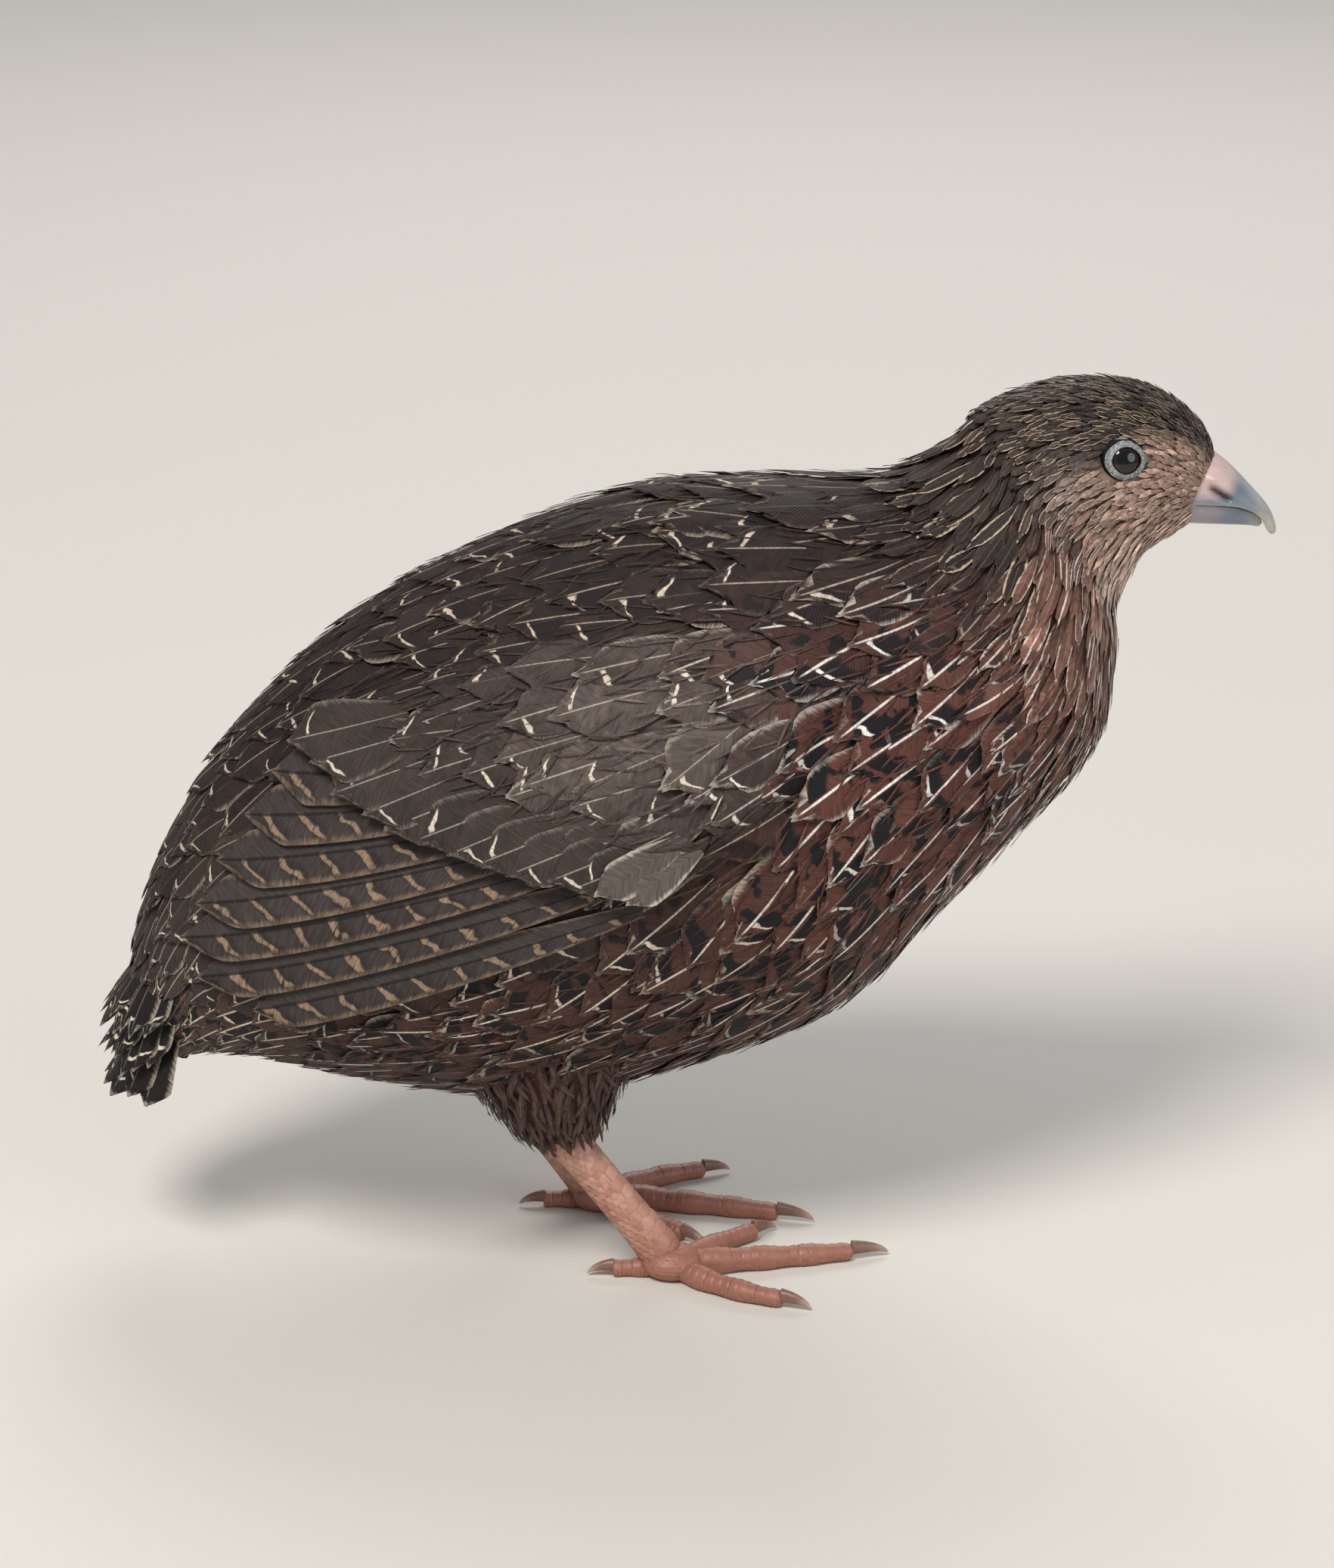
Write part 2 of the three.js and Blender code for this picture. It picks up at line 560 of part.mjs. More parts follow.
// A toe with scutes stepped into its upper face, flat below where it stands on the floor
function toeSolid(foot, toe, grow = 0) {
  const flat = Math.cos(Math.PI / TOE_SIDES);
  const rings = [];
  for (let i = 0; i < toe.scutes; i += 1) {
    for (const [share, step] of [[0.05, 0], [0.95, 0.2]]) {
      const t = (i + share) / toe.scutes;
      const radius = lerp(toe.base, toe.tip, t) * (1 + 0.05 * Math.sin(3 * Math.PI * t)) * (t > 0.94 ? 0.86 : 1);
      const { place, across } = toePlace(foot, toe, 1.2 + (toe.length - 1.2) * t);
      const ring = [];
      for (let j = 0; j < TOE_SIDES; j += 1) {
        const angle = (2 * Math.PI * (j + 0.5)) / TOE_SIDES;
        const reach = radius + (Math.cos(angle) > 0.3 ? step : 0) + grow;
        const height = Math.max(0, radius * flat + reach * Math.cos(angle));
        ring.push(place.clone().addScaledVector(across, reach * Math.sin(angle)).setZ(height));
      }
      rings.push(ring);
    }
  }
  return loft(rings);
}

// A claw, curved down from the end of its toe
function claw(foot, toe) {
  const { place, way, across } = toePlace(foot, toe, toe.length - 0.2);
  const radius = toe.tip * 0.82;
  const rings = [];
  for (const t of [0, 0.3, 0.6, 0.95]) {
    const reach = GAP + toe.claw * Math.sin(t * 1.25) * 0.94;
    const height = radius * 1.15 + 0.5 - 1.15 * t * t;
    const half = radius * (1 - t) ** 0.75 + 0.12;
    const ring = [];
    for (let j = 0; j < 8; j += 1) {
      const angle = (2 * Math.PI * j) / 8;
      const point = place.clone().setZ(height + half * Math.cos(angle) * 1.1);
      ring.push(point.addScaledVector(way, reach).addScaledVector(across, half * 0.8 * Math.sin(angle)));
    }
    rings.push(ring);
  }
  return loft(rings);
}

// Colours, one material for each kind of surface
const finish = (color, roughness) => new THREE.MeshStandardMaterial({ color, roughness, metalness: 0 });
const FINISHES = {
  plumage: finish(0x4a3428, 0.85),
  wing: finish(0x54453a, 0.8),
  head: finish(0x5c4636, 0.85),
  horn: finish(0x9aa0a6, 0.4),
  claw: finish(0x6f5c4e, 0.45),
  scale: finish(0xb9826c, 0.55),
  eye: finish(0x120c0a, 0.08),
};

// Assembly
const quail = new THREE.Group();

function addNode(name, solid, material) {
  const { vertProperties, triVerts, numProp } = solid.getMesh();
  const positions = new Float32Array((vertProperties.length / numProp) * 3);
  for (let i = 0; i < positions.length / 3; i += 1) {
    positions.set(vertProperties.subarray(i * numProp, i * numProp + 3), i * 3);
  }
  const geometry = new THREE.BufferGeometry();
  geometry.setAttribute("position", new THREE.BufferAttribute(positions, 3));
  geometry.setIndex(new THREE.BufferAttribute(triVerts, 1));
  geometry.computeVertexNormals();
  const mesh = new THREE.Mesh(geometry, material);
  mesh.name = name;
  quail.add(mesh);
}

const pockets = [wingPocket(LEFT), wingPocket(RIGHT)];
const torsoGrown = bodyLength(TAIL_END, TORSO_END, TORSO_RINGS, TORSO_SIDES, GAP);
const trunk = bodyLength(TAIL_END + gapAt(TAIL_END), TORSO_END, TORSO_RINGS, TORSO_SIDES);
const torso = pockets.reduce((solid, cut) => solid.subtract(cut), trunk);
addNode("torso", largest(torso), FINISHES.plumage);
addNode("neck", bodyLength(TORSO_END + gapAt(TORSO_END), NECK_END, NECK_RINGS, TORSO_SIDES), FINISHES.head);

let head = bodyLength(NECK_END + gapAt(NECK_END), STATIONS.length - 1, HEAD_RINGS, HEAD_SIDES);
head = join([head, lidRing(LEFT), lidRing(RIGHT)]);
for (const cut of [eyeball(LEFT, GAP), eyeball(RIGHT, GAP), upperBill(GAP), lowerBill(GAP)]) {
  head = head.subtract(cut);
}
addNode("head", largest(head), FINISHES.head);
addNode("bill_upper", carvedUpperBill(), FINISHES.horn);
addNode("bill_lower", largest(lowerBill().subtract(upperBill(GAP))), FINISHES.horn);

for (const [word, side] of [["right", RIGHT], ["left", LEFT]]) {
  addNode(`eye_${word}`, eyeball(side), FINISHES.eye);
  addNode(`wing_${word}`, wing(side), FINISHES.wing);
  const foot = FEET[word];
  const drumstick = pockets.reduce((solid, cut) => solid.subtract(cut), thigh(foot).subtract(torsoGrown));
  addNode(`thigh_${word}`, largest(drumstick), FINISHES.plumage);
  addNode(`shank_${word}`, largest(shank(foot).subtract(thigh(foot, GAP).add(torsoGrown))), FINISHES.scale);
  const order = [...TOES].sort((a, b) => b.length - a.length);
  order.forEach((toe, i) => {
    let solid = toeSolid(foot, toe).subtract(shank(foot, GAP));
    for (const longer of order.slice(0, i)) solid = solid.subtract(toeSolid(foot, longer, GAP));
    addNode(`toe_${toe.name}_${word}`, largest(solid), FINISHES.scale);
    addNode(`claw_${toe.name}_${word}`, claw(foot, toe), FINISHES.claw);
  });
}
addNode("tail", largest(tail().subtract(torsoGrown)), FINISHES.plumage);

// The frame: the origin goes on the floor, under the middle of the whole bird
const extent = new THREE.Box3().setFromObject(quail);
const middle = extent.getCenter(new THREE.Vector3());
quail.position.set(-middle.x, -middle.y, -extent.min.z);

export default quail;
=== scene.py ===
"""The looks of a life-size coturnix quail: one skin, its feathers, eyes, bill, scaly legs and claws.

Sizes are millimetres in the bird's own frame, with the bill towards +X and the right side at -Y. They
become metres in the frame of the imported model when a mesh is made.
"""

import logging
import math
from dataclasses import dataclass
from enum import Enum
from typing import Callable

import bpy
import numpy as np
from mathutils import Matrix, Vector


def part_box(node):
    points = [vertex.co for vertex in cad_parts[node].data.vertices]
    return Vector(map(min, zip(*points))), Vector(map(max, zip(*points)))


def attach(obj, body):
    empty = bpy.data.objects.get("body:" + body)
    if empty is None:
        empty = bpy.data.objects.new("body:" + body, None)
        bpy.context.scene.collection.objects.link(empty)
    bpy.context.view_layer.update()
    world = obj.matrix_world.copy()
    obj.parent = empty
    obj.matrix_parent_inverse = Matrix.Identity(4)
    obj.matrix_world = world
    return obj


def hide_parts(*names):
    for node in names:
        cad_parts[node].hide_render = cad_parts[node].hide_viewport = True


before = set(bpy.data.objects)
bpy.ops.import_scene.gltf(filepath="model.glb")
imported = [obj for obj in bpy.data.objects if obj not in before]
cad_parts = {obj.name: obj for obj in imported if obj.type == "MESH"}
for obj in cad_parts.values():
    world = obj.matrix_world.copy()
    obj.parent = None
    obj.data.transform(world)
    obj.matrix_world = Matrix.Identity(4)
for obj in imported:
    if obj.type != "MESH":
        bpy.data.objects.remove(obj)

LOG = logging.getLogger("quail")
MM = 0.001
TURN = 2 * math.pi
NUDGE = 1e-3  # step in p and q over which a surface's slopes are measured
BAKE_PATCH = 0.003  # size of one feather's patch on the unwrap
UP = np.array((0, 0, 1.0))
Array = np.ndarray
Surface = Callable[[Array, Array, Array], Array]

# The body's stations from tail to bill: x, z, pitch in degrees, reach up, reach down, half width
STATIONS = np.array([
    (-67.5, 30.5, 62, 5.5, 5.5, 7.0), (-64.0, 34.8, 50, 9.3, 9.0, 11.5),
    (-57.8, 41.6, 36, 16.3, 16.5, 18.0), (-46.4, 48.5, 26, 26.0, 25.5, 24.5),
    (-28.0, 55.6, 21, 36.0, 34.5, 29.5), (-7.7, 63.5, 21, 39.5, 38.0, 31.5),
    (11.7, 71.8, 22, 38.4, 38.2, 31.0), (26.6, 79.9, 25, 31.8, 32.2, 28.0),
    (38.1, 86.0, 29, 26.3, 27.2, 23.5), (46.0, 92.2, 37, 22.5, 23.6, 19.5),
    (50.7, 100.0, 38, 18.2, 18.6, 16.0), (52.8, 105.4, 34, 16.0, 16.6, 13.8),
    (59.0, 109.4, 20, 13.6, 14.2, 12.2), (65.2, 109.8, 0, 11.5, 11.0, 10.6),
    (69.8, 108.9, -10, 8.8, 8.2, 7.3), (72.4, 108.2, -14, 5.7, 5.8, 4.9),
    (73.6, 107.8, -16, 3.2, 3.3, 2.8),
], dtype=float)
FIRST, LAST = 0.15, len(STATIONS) - 1.1  # stations between which the skin runs
LOW_BULGE = 0.13
EYE = np.array((61.0, 8.1, 113.0))
EYE_RADIUS = 3.4
EYE_LOOK = np.array((0.19, 0.96, 0.20)) / math.sqrt(0.19 ** 2 + 0.96 ** 2 + 0.20 ** 2)

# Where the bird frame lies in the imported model's frame, read from the right eye
_low, _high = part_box("eye_right")
SHIFT = (np.array(_low) + np.array(_high)) / 2 / MM - EYE * (1, -1, 1)


def blend(a: Array, b: Array, share: Array) -> Array:
    """Mixes a and b. Args: a, b: values; share: 0 gives a and 1 gives b. Returns: the mix."""
    return a + (b - a) * share


def ease(low: float, high: float, x: Array) -> Array:
    """A smooth step. Args: low, high: where it starts and ends; x: values. Returns: 0 to 1."""
    share = np.clip((x - low) / (high - low), 0, 1)
    return share * share * (3 - 2 * share)


def spline(values: Array, t: Array) -> Array:
    """A smooth curve. Args: values: rows to pass through; t: places, in rows. Returns: points."""
    last = len(values) - 1
    t = np.clip(t, 0, last)
    i = np.clip(np.floor(t).astype(int), 0, last - 1)
    u = (t - i)[..., None]
    a, b, c, d = (values[np.clip(i + k, 0, last)] for k in (-1, 0, 1, 2))
    square = (2 * a - 5 * b + 4 * c - d) * u ** 2
    return 0.5 * (2 * b + (c - a) * u + square + (3 * b - a - 3 * c + d) * u ** 3)


def srgb(code: str) -> Array:
    """Turns a hex colour to linear. Args: code: six hex digits. Returns: three linear numbers."""
    part = np.array([int(code[k:k + 2], 16) / 255 for k in (0, 2, 4)])
    return np.where(part <= 0.04045, part / 12.92, ((part + 0.055) / 1.055) ** 2.4)


def column(values: Array, like: Array) -> Array:
    """Shapes one value for each feather to meet an array. Args: values; like: it. Returns: the values."""
    return values.reshape((len(values),) + (1,) * (like.ndim - 1))


# Surfaces that feathers lie on

WING_CENTRE = np.array((-14.0, 14.0))
WING_HALF = np.array((47.0, 17.5))
WING_RISE = 3.3
# Lower and rear edge of the covert panel, in flank places: u along the body, v up
PANEL_EDGE = np.array([
    (-37, 32), (-33.5, 27.5), (-29, 22.8), (-25, 18.4), (-20.5, 15.0), (-15.5, 12.2),
    (-10, 9.4), (-3, 6.4), (4, 3.6), (9, 2.0), (20, 4.0), (31, 12),
])


@dataclass(frozen=True)
class Flank:
    """The ellipsoid that matches the side of the trunk and carries the wing."""

    x: float = -1.4
    z: float = 61.1
    pitch: float = math.radians(22)
    along: float = 71.2
    side: float = 31.9
    up: float = 42.5
    down: float = 34.0

    def point(self, u: Array, v: Array, lift: Array, left: bool) -> Array:
        """A place on the flank. Args: u, v: along and up; lift: height off it; left: side. Returns: xyz."""
        height = np.where(v > 0, self.up, self.down)
        inside = np.maximum(0.06, 1 - (u / self.along) ** 2 - (v / height) ** 2)
        y = self.side * np.sqrt(inside)
        normal = np.stack([u / self.along ** 2, y / self.side ** 2, v / height ** 2], -1)
        normal /= np.linalg.norm(normal, axis=-1, keepdims=True)
        p = np.stack(np.broadcast_arrays(u, y, v), -1) + normal * np.asarray(lift)[..., None]
        c, s = math.cos(self.pitch), math.sin(self.pitch)
        turned = np.stack([p[..., 0] * c - p[..., 2] * s, p[..., 1], p[..., 0] * s + p[..., 2] * c], -1)
        turned[..., 1] *= 1 if left else -1
        return turned + (self.x, 0, self.z)

    def place(self, xyz: Array) -> tuple[Array, Array]:
        """Finds (u, v) under a point. Args: xyz: points. Returns: u and v."""
        dx, dz = xyz[..., 0] - self.x, xyz[..., 2] - self.z
        c, s = math.cos(self.pitch), math.sin(self.pitch)
        return dx * c + dz * s, dz * c - dx * s


FLANK = Flank()


def wing_share(xyz: Array) -> Array:
    """How far inside the wing a point is. Args: xyz: points. Returns: under 1 inside the wing."""
    u, v = FLANK.place(xyz)
    return np.hypot((u - WING_CENTRE[0]) / WING_HALF[0], (v - WING_CENTRE[1]) / WING_HALF[1])


def above_edge(xyz: Array) -> Array:
    """How far a point is above the covert panel's edge. Args: xyz: points. Returns: millimetres."""
    u, v = FLANK.place(xyz)
    return v - np.interp(u, PANEL_EDGE[:, 0], PANEL_EDGE[:, 1])


def body_point(t: Array, angle: Array, grow: Array) -> Array:
    """A place on the body. Args: t: station place; angle: from the back; grow: outwards. Returns: xyz."""
    x, z, pitch, up, down, side = np.moveaxis(spline(STATIONS, np.asarray(t, float)), -1, 0)
    c = np.cos(angle)
    rise = c * (np.where(c > 0, up, down) + grow)
    y = (side + grow) * np.sin(angle) * (1 - LOW_BULGE * c)
    return np.stack([x - rise * np.sin(np.radians(pitch)), y, z + rise * np.cos(np.radians(pitch))], -1)


def coat_point(t: Array, angle: Array, grow: Array) -> Array:
    """As body_point, but raised where the folded wing lies under the coat."""
    flat = body_point(t, angle, grow)
    panel = ease(-1.0, 2.5, above_edge(flat)) * (1 - ease(0.84, 1.28, wing_share(flat)))
    return body_point(t, angle, grow + WING_RISE * panel)


def coat_depth(t: Array) -> Array:
    """Depth of the coat from skin to feather tips. Args: t: station place. Returns: millimetres."""
    return np.interp(t, [0, 2, 5, 8, 10, 11.5, 13, 16], [1.3, 1.5, 1.6, 1.5, 1.1, 0.8, 0.6, 0.35])


# The thigh's feathers as rings placed from the hock: back, rise, half depth, half width
THIGH = np.array([
    (-6, 22, 15, 11), (-4, 10, 14, 11), (-4.5, 2, 10.5, 8.6),
    (-5, -3.5, 7.2, 6), (-5.8, -7.2, 4.6, 4.3), (-6.6, -9.2, 3.3, 3.2),
], dtype=float)


@dataclass(frozen=True)
class Foot:
    """Where a foot stands, and which way it turns."""

    word: str
    side: int
    x: float
    y: float
    turn: float

    @property
    def hock(self) -> Array:
        """The hock joint's place."""
        return np.array((self.x - 19.5, self.y * 1.02, 27.0))

    def thigh_point(self, s: Array, angle: Array, grow: Array) -> Array:
        """A place on the thigh. Args: s: 0 top to 5 end; angle: round it; grow: out. Returns: xyz."""
        back, rise, deep, wide = np.moveaxis(spline(THIGH, np.asarray(s, float)), -1, 0)
        c = np.cos(angle)
        x = self.hock[0] - back + (deep + grow) * c
        y = self.hock[1] + (wide + grow) * np.sin(angle)
        return np.stack([x, y, self.hock[2] + rise + 0.3 * deep * c], -1)


FEET = (Foot("right", -1, 3.0, -13.0, 3.0), Foot("left", 1, -7.0, 10.5, 2.0))

TAIL_ROOT = np.array((-62.0, 0.0, 43.0))
TAIL_PITCH = math.radians(-58)


def tail_point(distance: Array, y: Array, level: Array) -> Array:
    """A place on the tail. Args: distance: down it; y: across; level: out of it. Returns: xyz."""
    way = np.array((-math.cos(TAIL_PITCH), 0, math.sin(TAIL_PITCH)))
    out = np.array((math.sin(TAIL_PITCH), 0, math.cos(TAIL_PITCH)))
    level = level - 0.035 * y ** 2
    spread = np.stack(np.broadcast_arrays(0 * distance, y, 0 * distance), -1)
    return TAIL_ROOT + distance[..., None] * way + level[..., None] * out + spread


# Meshes from arrays and from primitives

def to_frame(points: Array) -> Array:
    """Turns bird-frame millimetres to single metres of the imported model, in one row."""
    return ((points + SHIFT) * MM).astype(np.float32).ravel()


def stored_points(piece: bpy.types.Object) -> Array:
    """The mesh points of a piece as they are stored. Args: piece. Returns: rows of xyz."""
    co = np.empty(len(piece.data.vertices) * 3, np.float32)
    piece.data.vertices.foreach_get("co", co)
    return co.reshape(-1, 3).astype(float)


def bird_points(piece: bpy.types.Object) -> Array:
    """The mesh points of a finished piece. Args: piece. Returns: bird-frame millimetres."""
    return stored_points(piece) / MM - SHIFT


def select_only(piece: bpy.types.Object | None = None) -> None:
    """Deselects every object, then picks one, so that an operator meets only it. Args: piece: it."""
    bpy.ops.object.select_all(action="DESELECT")
    if piece:
        piece.select_set(True)
        bpy.context.view_layer.objects.active = piece


def settle(piece: bpy.types.Object, points: Array) -> None:
    """Moves a primitive's points and turns its faces outwards. Args: piece; points: bird-frame places."""
    piece.data.vertices.foreach_set("co", to_frame(points))
    piece.data.update()
    select_only(piece)
    bpy.ops.object.mode_set(mode="EDIT")
    bpy.ops.mesh.select_all(action="SELECT")
    bpy.ops.mesh.normals_make_consistent(inside=False)
    bpy.ops.object.mode_set(mode="OBJECT")
    bpy.ops.object.shade_smooth()


def store_colour(piece: bpy.types.Object, name: str, *values: Array) -> None:
    """Stores a colour on each point. Args: piece; name: attribute; values: rows, or three columns."""
    layer = piece.data.attributes.new(name, "FLOAT_COLOR", "POINT")
    colour = np.ones((len(piece.data.vertices), 4), np.float32)
    colour[:, :3] = values[0] if len(values) == 1 else np.stack(np.broadcast_arrays(*values), -1)
    layer.data.foreach_set("color", colour.ravel())


def at_end(s: Array) -> Array:
    """Tells the two end points of a shaped sphere. Args: s: 0 to 1 along it. Returns: a mask."""
    return (s < 1e-4) | (s > 1 - 1e-4)


def shaped_sphere(name: str, segments: int, rings: int,
                  place: Callable[[Array, Array], Array]) -> tuple[bpy.types.Object, Array, Array]:
    """A closed tube shaped from a sphere primitive.

    Args:
        name: the object's name.
        segments, rings: points round it and rings along it.
        place: gives xyz for s from 0 to 1 along it and an angle round it.

    Returns:
        The new object, smooth shaded, and s and the angle of each of its points.
    """
    select_only()
    bpy.ops.mesh.primitive_uv_sphere_add(segments=segments, ring_count=rings, radius=1.0)
    piece = bpy.context.active_object
    piece.name = name
    co = stored_points(piece)
    s, angle = np.arccos(np.clip(co[:, 2], -1, 1)) / math.pi, np.arctan2(co[:, 1], co[:, 0])
    settle(piece, place(s, angle))
    return piece, s, angle


def join_pieces(pieces: list[bpy.types.Object], name: str) -> bpy.types.Object:
    """Joins pieces into one. Args: pieces: objects; name: the result's name. Returns: the object."""
    select_only(pieces[0])
    for piece in pieces:
        piece.select_set(True)
    bpy.ops.object.join()
    pieces[0].name = name
    return pieces[0]


def cells(x: Array, y: Array, rows: float, columns: float) -> tuple[Array, Array]:
    """Staggered plates on a surface.

    Args:
        x, y: places in millimetres.
        rows, columns: spacing along x and along y.

    Returns:
        The distance from each place to its plate's edge, and a random number for each plate.
    """
    row = np.floor(x / rows)
    near, second = np.full(np.shape(x), 9e9), np.full(np.shape(x), 9e9)
    mark = np.zeros(np.shape(x))
    for r in (row - 1, row, row + 1):
        offset = 0.5 * (r % 2)
        middle = np.floor(y / columns - offset)
        for c in (middle - 1, middle, middle + 1):
            distance = np.hypot((x - (r + 0.5) * rows) / rows, (y - (c + 0.5 + offset) * columns) / columns)
            number = np.modf(np.sin(r * 12.9898 + c * 78.233) * 43758.5453)[0]
            closer = distance < near
            second = np.where(closer, near, np.minimum(second, distance))
            mark = np.where(closer, np.abs(number), mark)
            near = np.where(closer, distance, near)
    return (second - near) * min(rows, columns), mark


# Feathers

class Kind(Enum):
    """Feather shapes: rows along, columns across, widest place, raggedness, crowding of rows to the tip."""

    WISP = (6, 3, 0.35, 0.10, 1.0)
    DOWN_FACE = (5, 3, 0.45, 0.10, 1.0)
    SMALL = (7, 5, 0.50, 0.10, 1.1)
    CONTOUR = (11, 11, 0.62, 0.020, 1.15)
    LOOSE = (9, 9, 0.50, 0.10, 1.1)
    COVERT = (12, 11, 0.72, 0.012, 1.2)
    FLIGHT = (26, 13, 0.91, 0.003, 1.6)


@dataclass
class Plumes:
    """A group of feathers on one surface, with one row of numbers for each feather."""

    p: Array
    q: Array
    length: Array
    half_width: Array
    root_lift: Array
    tip_lift: Array
    yaw: Array
    coat: Array
    dark: Array
    pale: Array
    streak: Array
    hook: Array
    blotch: Array
    edge: Array
    bar: Array
    camber: float = 0.11
    lap: float = 0.0

    def part(self, keep: Array) -> "Plumes":
        """Keeps some of the feathers. Args: keep: a mask. Returns: the smaller group."""
        return Plumes(**{k: (v[keep] if isinstance(v, np.ndarray) else v) for k, v in self.__dict__.items()})

    def axes(self, surface: Surface) -> tuple[Array, Array, Array, Array]:
        """Axes at each root. A feather points where p falls. Args: surface. Returns: Jp, Jq, along, across."""
        p, q, lift = self.p, self.q, self.root_lift
        here = surface(p, q, lift)
        jp = (surface(p + NUDGE, q, lift) - here) / NUDGE
        jq = (surface(p, q + NUDGE, lift) - here) / NUDGE
        f = -jp / np.linalg.norm(jp, axis=-1, keepdims=True)
        g = jq - f * np.sum(jq * f, -1, keepdims=True)
        g /= np.linalg.norm(g, axis=-1, keepdims=True)
        c, s = np.cos(self.yaw)[:, None], np.sin(self.yaw)[:, None]
        return jp, jq, f * c + g * s, g * c - f * s


def feather_piece(name: str, surface: Surface, plumes: Plumes, kind: Kind, rng: np.random.Generator,
                  unwrap: tuple[Array, Array] | None = None) -> bpy.types.Object:
    """Builds one mesh of many closed, lens-thin feathers that follow a surface.

    Args:
        name: the object's name.
        surface: gives xyz for (p, q, lift).
        plumes: the feathers.
        kind: their shape.
        rng: seeded random numbers.
        unwrap: each root's place on the skin's unwrap, or None to use p and q.

    Returns:
        The new object.
    """
    rows, columns, widest, ragged, crowd = kind.value
    count = len(plumes.p)
    t = (1 - np.linspace(1, 0, rows) ** crowd)[:, None]
    r = np.linspace(-1, 1, columns)
    p0, q0, length, half, low, high = (k[:, None, None] for k in (
        plumes.p, plumes.q, plumes.length, plumes.half_width, plumes.root_lift, plumes.tip_lift))
    jp, jq, along, across = (k[:, None, None] for k in plumes.axes(surface))

    # the outline in millimetres along and across, and the lift of each point
    shape = np.where(t < widest, 0.34 + 0.66 * np.sin(np.clip(t / widest, 0, 1) * math.pi / 2),
                     np.sqrt(np.maximum(0.05, 1 - np.clip((t - widest) / (1 - widest), 0, 1) ** 2.3)))
    fringe = rng.normal(0, ragged, (count, 1, columns)) * np.clip((t - 0.55) / 0.45, 0, 1) ** 2
    comb = ragged * 0.55 * np.where(np.arange(columns) % 2 == 0, -1, 0.6) * (t > 0.9)
    pull = np.minimum(0.16, 0.75 * half / length)
    x = np.clip(t - pull * t ** 4 * r ** 2 + fringe * 0.6 + comb * 0.5, 0, None) * length
    wobble = 1 + rng.normal(0, ragged * 0.5, (count, rows, 1)) * (np.abs(r) > 0.99)
    y = r * shape * wobble * half
    lift = low + (high - low) * (1 - (1 - t) ** 1.5) - plumes.camber * half * r ** 2 * shape
    lift = lift - plumes.lap * r * np.minimum(1, t * 3) + 0.05 * (np.abs(r) < 0.01) * (1 - 0.6 * t)

    # carried over to p and q through the surface's slopes at the root
    d = x[..., None] * along + y[..., None] * across
    g11, g12, g22 = (np.sum(a * b, -1) for a, b in ((jp, jp), (jp, jq), (jq, jq)))
    dp, dq = np.sum(d * jp, -1), np.sum(d * jq, -1)
    det = g11 * g22 - g12 ** 2
    p, q = p0 + (g22 * dp - g12 * dq) / det, q0 + (g11 * dq - g12 * dp) / det
    inner = np.s_[:, 1:-1, 1:-1]
    thick = 0.09 + 0.02 * np.minimum(half, 5)
    points = np.concatenate([surface(p, q, lift).reshape(count, -1, 3),
                             surface(p[inner], q[inner], lift[inner] - thick).reshape(count, -1, 3)], 1)
    each = points.shape[1]

    # the two faces share their rim, and wind so that they look out
    upper = np.arange(rows * columns).reshape(rows, columns)
    lower = upper.copy()
    lower[1:-1, 1:-1] = np.arange(rows * columns, each).reshape(rows - 2, columns - 2)
    quads = []
    for grid in (upper, lower):
        a, b, c, e = grid[:-1, :-1], grid[:-1, 1:], grid[1:, 1:], grid[1:, :-1]
        quads.append(np.stack([k.ravel() for k in ((a, b, c, e) if grid is upper else (a, e, c, b))], -1))
    quads = np.concatenate(quads)
    a, b, c = points[0][quads[0, :3]]
    high, low = (surface(plumes.p, plumes.q, plumes.root_lift + k)[0] for k in (1, 0))
    out = high - low
    if np.dot(np.cross(b - a, c - a), out) < 0:
        quads = quads[:, ::-1]
    faces = (quads[None] + (np.arange(count) * each)[:, None, None]).reshape(-1, 4)

    mesh = bpy.data.meshes.new(name)
    mesh.vertices.add(count * each)
    mesh.vertices.foreach_set("co", to_frame(points))
    mesh.loops.add(faces.size)
    mesh.loops.foreach_set("vertex_index", faces.astype(np.int32).ravel())
    mesh.polygons.add(len(faces))
    mesh.polygons.foreach_set("loop_start", np.arange(0, faces.size, 4, dtype=np.int32))
    mesh.update(calc_edges=True)
    mesh.polygons.foreach_set("use_smooth", np.ones(len(faces), bool))

    # the rim is a sharp edge, so that the thin vane isn't shaded as if it were round
    rim = np.ones((rows, columns), bool)
    rim[1:-1, 1:-1] = False
    rim = np.concatenate([rim.ravel(), np.zeros(each - rows * columns, bool)])
    ends = np.empty(len(mesh.edges) * 2, np.int32)
    mesh.edges.foreach_get("vertices", ends)
    crease = mesh.attributes.new("sharp_edge", "BOOLEAN", "EDGE")
    crease.data.foreach_set("value", rim[ends % each].reshape(-1, 2).all(1))

